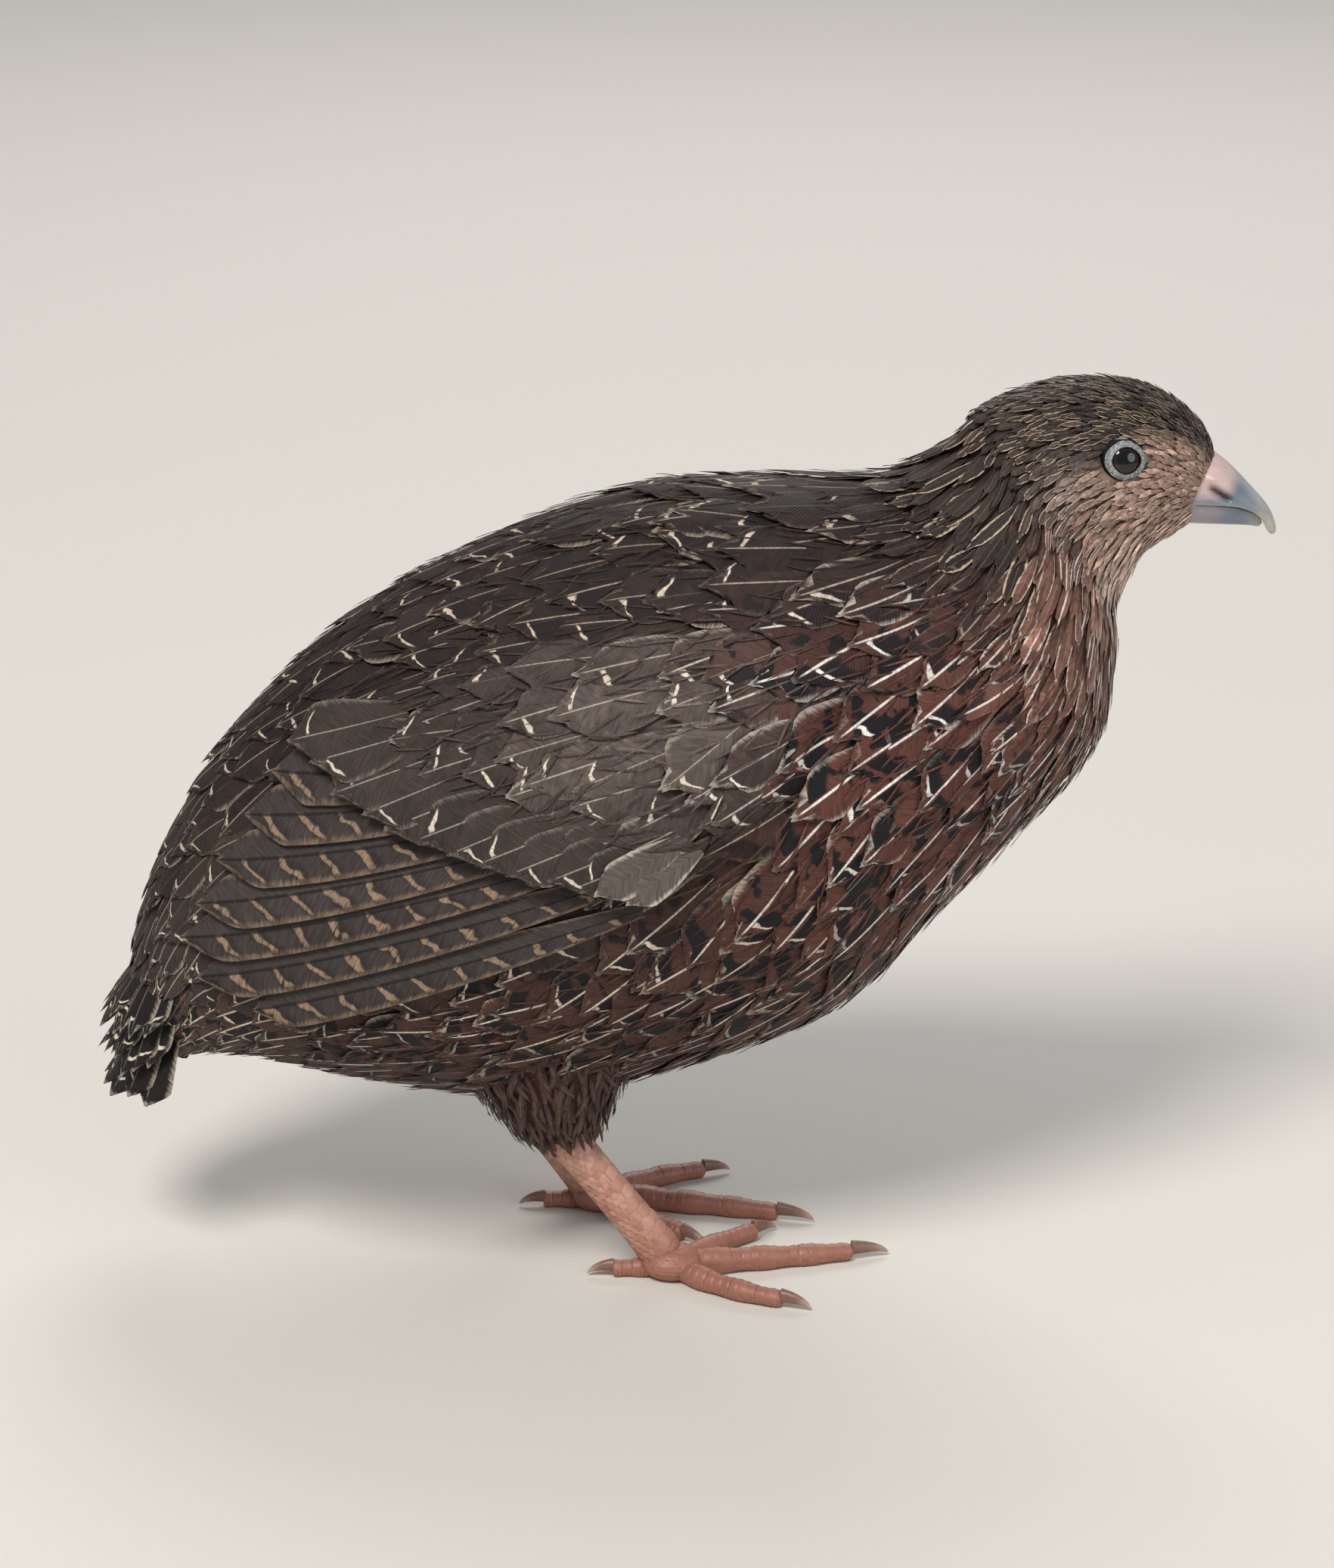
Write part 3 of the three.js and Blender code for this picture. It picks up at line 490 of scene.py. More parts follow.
    own = np.stack(np.broadcast_arrays(r, t), -1)
    own = np.concatenate([own.reshape(-1, 2), own[1:-1, 1:-1].reshape(-1, 2)])
    corner, owner = faces.ravel() % each, faces.ravel() // each
    places = unwrap or (plumes.p, plumes.q)
    roots = np.stack([(k - k.min()) / (np.ptp(k) + 1e-9) for k in places], -1) * 0.96 + 0.02
    patch = roots[owner] + (own[corner] * (0.5, 1) - (0, 0.5)) * BAKE_PATCH
    for layer, places in (("Vane", own[corner] * (0.5, 1) + (0.5, 0)), ("OFBake", patch)):
        mesh.uv_layers.new(name=layer).uv.foreach_set("vector", places.astype(np.float32).ravel())
    piece = bpy.data.objects.new(name, mesh)
    bpy.context.collection.objects.link(piece)
    spread = np.repeat(np.arange(count), each)
    noise = rng.random(count)
    for key in ("coat", "dark", "pale"):
        store_colour(piece, key.title(), getattr(plumes, key)[spread])
    for key, values in (("Marks", (plumes.streak, plumes.hook, plumes.blotch)),
                        ("Rims", (plumes.edge, plumes.bar, noise)),
                        ("Size", (plumes.length, plumes.half_width, noise * 97))):
        store_colour(piece, key, *(value[spread] for value in values))
    return piece


def scatter(surface: Surface, p_range: tuple[float, float], spacing: Callable[[Array, Array], Array],
            rng: np.random.Generator, tries: int) -> tuple[Array, Array]:
    """Spreads roots evenly over a closed tube, none nearer to another than the spacing asks.

    Args:
        surface: gives xyz for (p, q, lift), with q the angle round it.
        p_range: limits of p.
        spacing: distance between roots at (p, q), in millimetres.
        rng: seeded random numbers.
        tries: how many places are tried.

    Returns:
        The places p and q that are kept.
    """
    p, q = rng.uniform(*p_range, tries), rng.uniform(0.0, TURN, tries)
    zero = np.zeros(tries)
    here = surface(p, q, zero)
    slopes = ((surface(p + NUDGE, q, zero) - here) / NUDGE, (surface(p, q + NUDGE, zero) - here) / NUDGE)
    gap = spacing(p, q)
    weight = np.linalg.norm(np.cross(*slopes), axis=-1) / gap ** 2
    keep = rng.random(tries) < weight / np.quantile(weight, 0.98)
    p, q, here, gap = p[keep], q[keep], here[keep], gap[keep]
    grid: dict[tuple[int, int, int], list[int]] = {}
    kept: list[int] = []
    index = np.floor(here / gap.max()).astype(int)
    for i, (a, b, c) in enumerate(index):
        near = [j for da in (-1, 0, 1) for db in (-1, 0, 1) for dc in (-1, 0, 1)
                for j in grid.get((a + da, b + db, c + dc), ())]
        if near and (np.sum((here[near] - here[i]) ** 2, -1) < (0.5 * (gap[near] + gap[i])) ** 2).any():
            continue
        grid.setdefault((a, b, c), []).append(i)
        kept.append(i)
    return p[kept], q[kept]


# Plumage colours

@dataclass(frozen=True)
class Plumage:
    """The coat's colours and how strongly each mark shows, by place."""

    crown: str = "27201e"
    nape: str = "30231c"
    face: str = "957462"
    ear: str = "74625b"
    throat: str = "c3a18f"
    fore_neck: str = "754b39"
    breast: str = "5a2e20"
    flank: str = "4c2a1f"
    back: str = "2a1b14"
    covert: str = "3c302a"
    worn: str = "665850"
    thumb: str = "5b4f48"
    bars: str = "96785a"
    vent: str = "4a3226"
    thigh: str = "4c3328"
    flight: str = "3f3632"
    tail: str = "18110f"
    black: str = "141216"
    cream: str = "d9cab2"
    buff: str = "b0916c"
    white: str = "efe8dc"

    def on_body(self, t: Array, angle: Array, rng: np.random.Generator) -> dict[str, Array]:
        """Colours and marks at body places.

        Args:
            t, angle: station places, and angles from the back.
            rng: seeded random numbers.

        Returns:
            Arrays named as the fields of Plumes.
        """
        def layered(base: str, *layers: tuple[str, Array]) -> Array:
            """Lays colours over a base. Args: base; layers: each colour and its weight. Returns: rows."""
            colour = np.repeat(srgb(base)[None], count, 0)
            for code, weight in layers:
                colour = blend(colour, srgb(code)[None, :], weight[:, None])
            return colour

        count = len(t)
        xyz = body_point(t, angle, np.zeros(count))
        low = (1 - np.cos(angle)) / 2
        u, v = FLANK.place(xyz)
        side, under = ease(0.12, 0.32, low), ease(0.55, 0.85, low)
        wing = (1 - ease(0.92, 1.12, wing_share(xyz))) * ease(0.08, 0.16, low)
        worn = np.exp(-((u - 16) / 13) ** 2 - ((v - 18) / 8) ** 2)
        neck, head = ease(8.3, 10.0, t), ease(11.2, 12.3, t)
        upper = 1 - ease(0.36, 0.60, low)
        cap = low - np.interp(t, [11, 12.4, 13, 16], [0.42, 0.30, 0.19, 0.15])
        ear = np.exp(-((xyz[:, 0] - 55) / 3.6) ** 2 - ((xyz[:, 2] - 110.5) / 4.0) ** 2)
        coat = layered(
            self.back, (self.flank, side * 0.85), (self.breast, ease(5.5, 7.5, t) * ease(0.2, 0.5, low)),
            (self.vent, (1 - ease(1.5, 4.5, t)) * side), (self.covert, wing * 0.9),
            (self.worn, np.clip(worn * 0.9, 0, 0.75)), (self.nape, neck * upper),
            (self.fore_neck, neck * (1 - upper)),
            (self.crown, head * (1 - ease(-0.06, 0.06, cap))), (self.face, head * ease(-0.04, 0.08, cap)),
            (self.ear, np.clip(ear * 0.8, 0, 1) * (low > 0.15)),
            (self.throat, ease(10.4, 12.0, t) * ease(0.66, 0.86, low) * 0.9))
        coat = coat * np.exp(rng.normal(0, 1, (count, 1)) * (0.10 + 0.22 * neck)[:, None])
        pale = layered(
            self.cream, (self.buff, (1 - side) * 0.45 + head * 0.35),
            (self.white, ease(6, 8, t) * side * (1 - head) * (1 - 0.9 * neck * upper)),
            (self.buff, neck * upper * 0.7))
        flip = rng.random(count)
        streak = blend(blend(0.5 + 0.5 * side, 0.5, wing), 0.70, neck * side)
        streak = streak * np.where(rng.random(count) < 0.45 * neck, 0.1, 1)
        streak = blend(streak, 0.12, np.maximum(head, neck * upper))
        streak = streak * np.where(rng.random(count) < 0.15, 0.2, rng.uniform(0.7, 1.0, count))
        hook = np.where(rng.random(count) < blend(0.75, 0.9, wing), 0.95, 0.0) * (1 - neck) * (1 - 0.6 * under)
        blotch = blend(0.55, 1.0, side) * (1 - 0.75 * wing) * (1 - 0.65 * neck) * (1 - head)
        edge = blend(0.10 + 0.25 * (flip > 0.6), 0.1 + 0.75 * (flip > 0.5), neck)
        edge = blend(edge, 0.45 * (flip > 0.45), neck * (1 - upper) * (1 - head))
        return dict(coat=coat, dark=layered(self.black), pale=pale, streak=streak, hook=hook, blotch=blotch,
                    edge=edge, bar=np.zeros(count))

    def plain(self, count: int, coat: str, rng: np.random.Generator, **marks: float) -> dict[str, Array]:
        """One colour for a row of like feathers.

        Args:
            count: how many.
            coat: the base colour.
            rng: seeded random numbers.
            marks: strengths named as in Plumes, where not 0.

        Returns:
            Arrays named as the fields of Plumes.
        """
        keys = ("streak", "hook", "blotch", "edge", "bar")
        values = {key: np.full(count, float(marks.get(key, 0))) for key in keys}
        dark, pale = (np.repeat(srgb(code)[None], count, 0)
                      for code in (self.black, self.bars if "bar" in marks else self.cream))
        coats = srgb(coat)[None] * np.exp(rng.normal(0, 0.08, (count, 1)))
        return dict(coat=coats, dark=dark, pale=pale, **values)


# Materials

# Each short name of a node: its type, settings, inputs in the order given, and output. Others are Math.
NODES: dict[str, tuple[str, dict, tuple, int]] = {
    "step": ("MapRange", {"interpolation_type": "SMOOTHSTEP"}, (0, 1, 2), 0),
    "mix": ("Mix", {"data_type": "RGBA"}, (0, 6, 7), 2),
    "noise": ("TexNoise", {}, ("Vector", "Scale", "Detail"), 0),
    "shade": ("HueSaturation", {}, ("Value", "Color", "Saturation"), 0),
    "join": ("CombineXYZ", {}, (0, 1, 2), 0),
    "colour": ("SeparateColor", {}, (0,), 0),
    "place": ("SeparateXYZ", {}, (0,), 0),
    "turned": ("Mapping", {}, ("Vector", "Scale", "Rotation"), 0),
    "bump": ("Bump", {}, ("Height", "Strength", "Distance"), 0),
    "stored": ("Attribute", {}, (), 0),
    "object": ("TexCoord", {}, (), 3),
    "unwrap": ("UVMap", {}, (), 0),
}


class Wire:
    """A node's output. Each sign of arithmetic on it adds a Math node."""

    def __init__(self, finish: "Finish", node: bpy.types.Node, output: int) -> None:
        """Names the output. Args: finish: its material; node; output: its number."""
        self.finish, self.node, self.output = finish, node, output

    def parts(self) -> tuple["Wire", ...]:
        """The first three outputs of the node."""
        return tuple(Wire(self.finish, self.node, k) for k in range(3))

    def __add__(self, other: object) -> "Wire":
        """The sum."""
        return self.finish.add("ADD", self, other)

    def __sub__(self, other: object) -> "Wire":
        """The difference."""
        return self.finish.add("SUBTRACT", self, other)

    def __rsub__(self, other: float) -> "Wire":
        """The difference from a number."""
        return self.finish.add("SUBTRACT", other, self)

    def __mul__(self, other: object) -> "Wire":
        """The product."""
        return self.finish.add("MULTIPLY", self, other)

    def __truediv__(self, other: object) -> "Wire":
        """The quotient."""
        return self.finish.add("DIVIDE", self, other)


class Finish:
    """A material while it is being made."""

    def __init__(self, name: str) -> None:
        """Starts it. Args: name: its name."""
        self.material = bpy.data.materials.new(name)
        self.material.use_nodes = True
        self.tree = self.material.node_tree
        self.surface = self.tree.nodes["Principled BSDF"]

    def put(self, socket: bpy.types.NodeSocket, value: object) -> None:
        """Feeds an input. Args: socket: the input; value: a wire, a number, a tuple or a hex colour."""
        if isinstance(value, Wire):
            self.tree.links.new(value.node.outputs[value.output], socket)
        else:
            socket.default_value = (*srgb(value).tolist(), 1.0) if isinstance(value, str) else value

    def add(self, kind: str, *values: object, **settings: object) -> Wire:
        """Adds a node with its settings and links.

        Args:
            kind: a short name from NODES, or an operation of the Math node.
            values: what feeds its inputs, in order.
            settings: attributes of the node.

        Returns:
            Its output.
        """
        word, fixed, inputs, output = NODES.get(kind) or ("Math", {"operation": kind}, (0, 1), 0)
        node = self.tree.nodes.new(f"ShaderNode{word}")
        for key, value in {**fixed, **settings}.items():
            setattr(node, key, value)
        for key, value in zip(inputs, values):
            self.put(node.inputs[key], value)
        return Wire(self, node, output)

    def done(self, colour: Wire, **inputs: object) -> bpy.types.Material:
        """Connects the surface. Args: colour; inputs: the surface's others by name. Returns: the material."""
        for key, value in {"Base Color": colour, **inputs}.items():
            self.put(self.surface.inputs[key.replace("_", " ")], value)
        return self.material


@dataclass(frozen=True)
class FeatherKeratin:
    """Feather keratin, grown as barbs on a shaft: matt, finely ribbed, with a soft sheen off its barbs."""

    barb_spacing: float = 0.34  # real barbs are about 0.2 mm apart: drawn coarser so that they show
    roughness: float = 0.52
    saturation: float = 0.86

    def build(self) -> bpy.types.Material:
        """Makes the material. Returns: it."""
        finish = Finish("feather_keratin")
        add = finish.add
        u, t, _ = add("place", add("unwrap", uv_map="Vane")).parts()
        coat, dark, pale = (add("stored", attribute_name=key) for key in ("Coat", "Dark", "Pale"))
        (length, half, seed), (streaked, hooked, blotched), (edged, barred, chance) = (
            add("colour", add("stored", attribute_name=key)).parts() for key in ("Size", "Marks", "Rims"))
        across = u * 2.0 - 1.0
        inward = across * -1.0
        x_mm, y_mm = across * half, t * length
        out_mm = add("ABSOLUTE", x_mm)
        barb = y_mm - out_mm * 0.9
        strand = add("noise", add("join", out_mm * 0.25, barb, seed), 2.6, 2.0)
        cloud = add("noise", add("join", x_mm, y_mm, seed), 0.34, 2.0)
        ribs = add("SINE", barb * (TURN / self.barb_spacing)) * add("step", half, 0.5, 2.4)

        # one web, chosen by the feather's own random number, carries the blotch and the hook
        web = across * (add("GREATER_THAN", chance, 0.45) * 2.0 - 1.0)
        own = add("step", web, 0.02, 0.14)
        # how far a point is past the hook's line: near the tip, bowed, and wavering with the cloud
        ahead = y_mm - (cloud * -2.6 + (length * 0.88 + 0.6) + web * web * half * -0.42)
        # black blotches: one behind the hook, others away from the tip
        behind = add("step", ahead, -3.0, -2.2) * (1.0 - add("step", ahead, -0.1, 0.2)) * own
        blot = add("MAXIMUM", add("step", strand * 0.12 + cloud, 0.60, 0.65), behind)
        colour = add("mix", blot * blotched, coat, dark)
        # a pale rim that follows the edge and the tip
        tip = 1.0 - (length - y_mm) / half
        rim = add("MAXIMUM", add("ABSOLUTE", across) * 0.97, tip) + strand * 0.25 + edged * 0.22
        colour = add("mix", add("step", rim, 0.92, 1.16) * edged, colour, pale)
        # the hook itself, a cream bar about half a millimetre wide
        hook = (1.0 - add("step", add("ABSOLUTE", ahead), 0.15, 0.32)) * own
        hook = hook * (1.0 - add("step", web, 0.6, 0.8))
        colour = add("mix", hook * hooked, colour, pale)
        # bars of a flight feather, as chevrons broken on the inner web, each with a painted shadow before it,
        # laid in black
        wave = add("FRACT", y_mm * 0.19 + out_mm * 0.10 + cloud * 0.7 + chance)
        shade = add("step", wave, 0.40, 0.72) * barred * 0.55 * add("step", inward, -0.05, 0.05)
        colour = add("mix", shade, colour, dark)
        bars = add("step", wave, 0.72, 0.80) * (1.0 - add("step", wave, 0.90, 0.98))
        bars = bars * add("step", inward, -0.12, 0.05) * (1.0 - add("step", inward, 0.7, 0.9))
        colour = add("mix", bars * barred * add("step", strand, 0.28, 0.42), colour, pale)
        colour = add("mix", (1.0 - add("step", out_mm, 0.12, 0.3)) * barred, colour, dark)
        # the pale streak down the shaft, about a third of a millimetre wide, narrowing to the tip
        streak = 1.0 - add("step", out_mm / (streaked * 0.12 + 0.05), 0.6, 1.3)
        colour = add("mix", streak * streaked * (1.0 - add("step", t, 0.88, 0.97)), colour, pale)
        # barbs catch and lose the light in fine strands
        colour = add("shade", strand * 1.5 + ribs * 0.06 + 0.25, colour, self.saturation)
        return finish.done(colour, Normal=add("bump", ribs * 0.35 + strand * 1.6, 0.55, 0.00012),
                           Roughness=strand * 0.2 + self.roughness, Sheen_Weight=0.04, Sheen_Roughness=0.45,
                           Specular_IOR_Level=0.22)


@dataclass(frozen=True)
class SkinUnderCoat:
    """Bird skin with the downy bases of the feathers: dull, dark and soft, in the coat's colours."""

    saturation: float = 0.86

    def build(self) -> bpy.types.Material:
        """Makes the material. Returns: it."""
        finish = Finish("downy_skin")
        add = finish.add
        down = add("noise", add("object"), 900.0, 4.0)
        colour = add("shade", down * 0.8 + 0.4, add("stored", attribute_name="Coat"), self.saturation)
        return finish.done(colour, Normal=add("bump", down, 0.8, 0.0003), Roughness=0.9)


@dataclass(frozen=True)
class HornyScale:
    """Scutes of the leg: keratin plates grown over pink skin, satin, pale on the plate, red in the joints."""

    plate: str = "d2a591"
    plate_dark: str = "a06b58"
    joint: str = "5e2f27"
    toe: str = "8b5747"

    def build(self) -> bpy.types.Material:
        """Makes the material. Returns: it."""
        finish = Finish("horny_scale")
        add = finish.add
        depth, number, reddish = add("colour", add("stored", attribute_name="Scale")).parts()
        where = add("object")
        mottle, grain = add("noise", where, 420.0, 4.0), add("noise", where, 2600.0, 3.0)
        plate = add("mix", number * 0.55 + mottle * 0.6, self.plate, self.plate_dark)
        plate = add("mix", reddish, plate, add("mix", mottle, self.toe, self.plate_dark))
        return finish.done(add("mix", add("step", depth, 0.02, 0.35), self.joint, plate),
                           Normal=add("bump", grain, 0.4, 0.00008), Roughness=mottle * 0.3 + 0.3,
                           Subsurface_Weight=0.12, Subsurface_Scale=0.001, Subsurface_Radius=(1.0, 0.35, 0.2))


@dataclass(frozen=True)
class BillHorn:
    """Keratin of the bill, grown and worn smooth: waxy, finely lined along it, cream where it is thin."""

    pink: str = "bfa5a1"
    slate: str = "727d89"
    cream: str = "b5afa3"
    ridge: str = "a9a9a8"
    # painted shade: slit is the dark laid into the nostril slit, a recess where the horn is only in shade
    slit: str = "3c2a28"

    def build(self) -> bpy.types.Material:
        """Makes the material. Returns: it."""
        finish = Finish("bill_horn")
        add = finish.add
        thin, root, crest = add("colour", add("stored", attribute_name="Horn")).parts()
        # how much painted shade darkens the nostril slit
        deep, _, _ = add("colour", add("stored", attribute_name="Deep")).parts()
        where = add("object")
        lines = add("noise", add("turned", where, (0.2, 1.0, 1.0), (0, 0.7, 0)), 1800.0, 3.0)
        cloud = add("noise", where, 260.0, 3.0)
        colour = add("mix", thin, self.slate, self.cream)
        for share, code in ((crest, self.ridge), (root, self.pink), (deep, self.slit)):
            colour = add("mix", share, colour, code)
        colour = add("shade", lines * 0.35 + 0.62 + cloud * 0.4, colour)
        return finish.done(colour, Normal=add("bump", lines, 0.35, 0.0001), Roughness=lines * 0.25 + 0.25,
                           Subsurface_Weight=0.1, Subsurface_Scale=0.0006, Subsurface_Radius=(0.7, 0.5, 0.45))


@dataclass(frozen=True)
class ClawHorn:
    """Claw keratin, worn by scratching: dull brown, paler at its tip, lined along its length."""

    root: str = "7a5a4c"
    tip: str = "b39a86"

    def build(self) -> bpy.types.Material:
        """Makes the material. Returns: it."""
        finish = Finish("claw_horn")
        add = finish.add
        along, _, _ = add("colour", add("stored", attribute_name="Horn")).parts()
        lines = add("noise", add("object"), 1500.0, 3.0)
        colour = add("shade", lines * 0.7 + 0.65, add("mix", along, self.root, self.tip))
        return finish.done(colour, Normal=add("bump", lines, 0.4, 0.0001), Roughness=0.42)


@dataclass(frozen=True)
class WetEye:
    """The eye behind its cornea: a wet polished dome over a dark brown iris and a black pupil."""

    iris: tuple[str, str] = ("120a06", "2c1810")
    pupil: str = "030303"
    rim: str = "0a0807"

    def build(self) -> bpy.types.Material:
        """Makes the material. Returns: it."""
        finish = Finish("wet_eye")
        add = finish.add
        gaze, _, _ = add("colour", add("stored", attribute_name="Gaze")).parts()
        iris = add("mix", add("noise", add("object"), 2400.0, 2.0), *self.iris)
        colour = add("mix", add("step", gaze, 0.36, 0.44), self.pupil, iris)
        colour = add("mix", add("step", gaze, 0.62, 0.74), colour, self.rim)
        return finish.done(colour, Roughness=0.04, Specular_IOR_Level=0.25, Coat_Weight=0.6,
                           Coat_Roughness=0.02)


@dataclass(frozen=True)
class BareSkin:
    """Bare skin round the eye, beaded with fine papillae: matt grey-blue, warmer between the beads."""

    beads: tuple[str, str] = ("6c7272", "a0a7a6")
    between: str = "4a3d3a"
    rim: str = "2c2422"

    def build(self) -> bpy.types.Material:
        """Makes the material. Returns: it."""
        finish = Finish("bare_eye_skin")
        add = finish.add
        depth, inner, number = add("colour", add("stored", attribute_name="Horn")).parts()
        colour = add("mix", add("step", depth, 0.1, 0.8), self.between, add("mix", number, *self.beads))
        colour = add("mix", inner, colour, self.rim)
        mottle = add("noise", add("object"), 1300.0, 3.0)
        return finish.done(add("shade", mottle * 0.6 + 0.7, colour), Roughness=0.5)


class Kit:
    """What the sub-assemblies share: every material, made once, and the plumage's colours."""

    def __init__(self) -> None:
        """Makes them."""
        self.plumage = Plumage()
        self.feather, self.skin = FeatherKeratin().build(), SkinUnderCoat().build()
        self.scale, self.bill, self.claw = HornyScale().build(), BillHorn().build(), ClawHorn().build()
        self.eye, self.bare = WetEye().build(), BareSkin().build()


def dress(piece: bpy.types.Object, material: bpy.types.Material) -> bpy.types.Object:
    """Finishes a piece and lets it ride. Args: piece; material. Returns: the piece."""
    piece.data.materials.clear()
    piece.data.materials.append(material)
    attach(piece, "root")
    LOG.info("%s: %d faces", piece.name, len(piece.data.polygons))
    return piece


# Sub-assemblies

@dataclass
class Skin:
    """The one skin under the coat: trunk, neck, head and thighs."""

    kit: Kit
    voxel: float = 0.9
    thigh_end: float = 3.7
    thigh_depth: float = 1.3

    def build(self) -> list[bpy.types.Object]:
        """Makes the skin. Returns: the piece, in a list."""
        def trunk(s: Array, angle: Array) -> Array:
            """The trunk, neck and head. Args: s: 0 tail to 1 bill; angle. Returns: xyz."""
            t = blend(FIRST, LAST, s)
            axis = spline(STATIONS, t)
            centre = np.stack([axis[:, 0], 0 * s, axis[:, 1]], -1)
            return np.where(at_end(s)[:, None], centre, coat_point(t, angle, -coat_depth(t) - 0.15))

        parts = [shaped_sphere("trunk_skin", 56, 150, trunk)[0]]
        for foot in FEET:
            def thigh(s: Array, angle: Array, foot: Foot = foot) -> Array:
                """One thigh. Args: s: 0 top to 1 end; angle; foot. Returns: xyz."""
                at = s * self.thigh_end
                ring = foot.thigh_point(at, np.where(s > 0.5, math.pi / 2, -math.pi / 2), 0 * s)
                centre = ring * (1, 0, 1) + (0, foot.hock[1], 0)
                sunk = foot.thigh_point(at, angle, 0 * s - self.thigh_depth)
                return np.where(at_end(s)[:, None], centre, sunk)
            parts.append(shaped_sphere(f"thigh_skin_{foot.word}", 32, 40, thigh)[0])
        skin = join_pieces(parts, "skin")
        remesh = skin.modifiers.new("one surface", "REMESH")
        remesh.mode, remesh.voxel_size = "VOXEL", self.voxel * MM
        skin.modifiers.new("soften", "SMOOTH").iterations = 4
        select_only(skin)
        for modifier in list(skin.modifiers):
            bpy.ops.object.modifier_apply(modifier=modifier.name)
        bpy.ops.object.shade_smooth()

        # the coat's colours, by the nearest station of the axis
        points = bird_points(skin)
        stations = np.linspace(FIRST, LAST, 160)
        axis = spline(STATIONS, stations)
        away = [(block[:, None, 0] - axis[None, :, 0]) ** 2 + (block[:, None, 2] - axis[None, :, 1]) ** 2
                for block in np.array_split(points, 8)]
        nearest = np.concatenate([block.argmin(1) for block in away])
        angle = np.arctan2(points[:, 1], points[:, 2] - axis[nearest, 1]) % TURN
        look = self.kit.plumage.on_body(stations[nearest], angle, np.random.default_rng(3))
        store_colour(skin, "Coat", look["coat"])
        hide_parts("torso", "neck", "head", "thigh_right", "thigh_left")
        return [dress(skin, self.kit.skin)]


def off_flight(t: Array, angle: Array, tips: Array) -> Array:
    """Keeps loose barbs off the flight feathers. Args: t, angle, tips. Returns: a mask."""
    xyz = body_point(t, angle, 0 * t)
    u, v = FLANK.place(xyz)
    return (above_edge(xyz) > 1) | (v < -6) | (u > 8)


def underside(t: Array, angle: Array, tips: Array) -> Array:
    """Keeps loose feathers under the belly only. Args: t, angle, tips. Returns: a mask."""
    return np.cos(angle) < -0.62 + 0.25 * np.sin(t * 9)


def off_face(t: Array, angle: Array, tips: Array) -> Array:
    """Keeps feathers off the bill and the eye. Args: t, angle, tips. Returns: a mask."""
    roots = body_point(t, angle, 0 * t)
    front = np.interp(roots[:, 2], [100, 102, 104, 105.5, 107.5, 109.5, 111.4, 113],
                      [75, 74, 71.2, 69.6, 70.6, 71.8, 74.4, 77])
    clear = roots[:, 0] < front + 0.9
    for xyz, reach in ((roots, 1.0), (tips, 0.92), ((roots + tips) / 2, 0.95)):
        across = ((xyz[:, 0] - 61.5) / (2.75 * reach)) ** 2 + ((xyz[:, 2] - 113.5) / (2.4 * reach)) ** 2
        clear &= (across > 1) | (np.abs(xyz[:, 1]) < 6)
    return clear


@dataclass(frozen=True)
class Tract:
    """One tract of the coat.

    It lies between two stations. Its feathers' length and half width are given over their spacing, and
    keep chooses among the roots tried. It is split into bands round the body. Where closer is above 1,
    its feathers are loose barbs on top of the coat, that much closer than usual.
    """

    name: str
    limits: tuple[float, float]
    kind: Kind
    stretch: float
    plump: float
    tries: int
    keep: Callable[[Array, Array, Array], Array] | None = None
    split: int = 1
    closer: float = 1.0


TRACTS = (
    Tract("rump_coat", (0.2, 2.6), Kind.LOOSE, 3.5, 0.66, 12000),
    Tract("trunk_coat", (2.6, 8.9), Kind.CONTOUR, 3.4, 0.86, 20000, split=4),
    Tract("neck_coat", (8.9, 11.6), Kind.SMALL, 3.5, 0.46, 60000),
    Tract("head_coat", (11.6, 15.95), Kind.DOWN_FACE, 3.6, 0.46, 160000, off_face, split=2),
    Tract("belly_wisps", (1.6, 7.6), Kind.WISP, 2.9, 0.16, 20000, underside),
    Tract("loose_barbs", (1.4, 9.4), Kind.WISP, 2.6, 0.075, 60000, off_flight, split=2, closer=2.3),
)


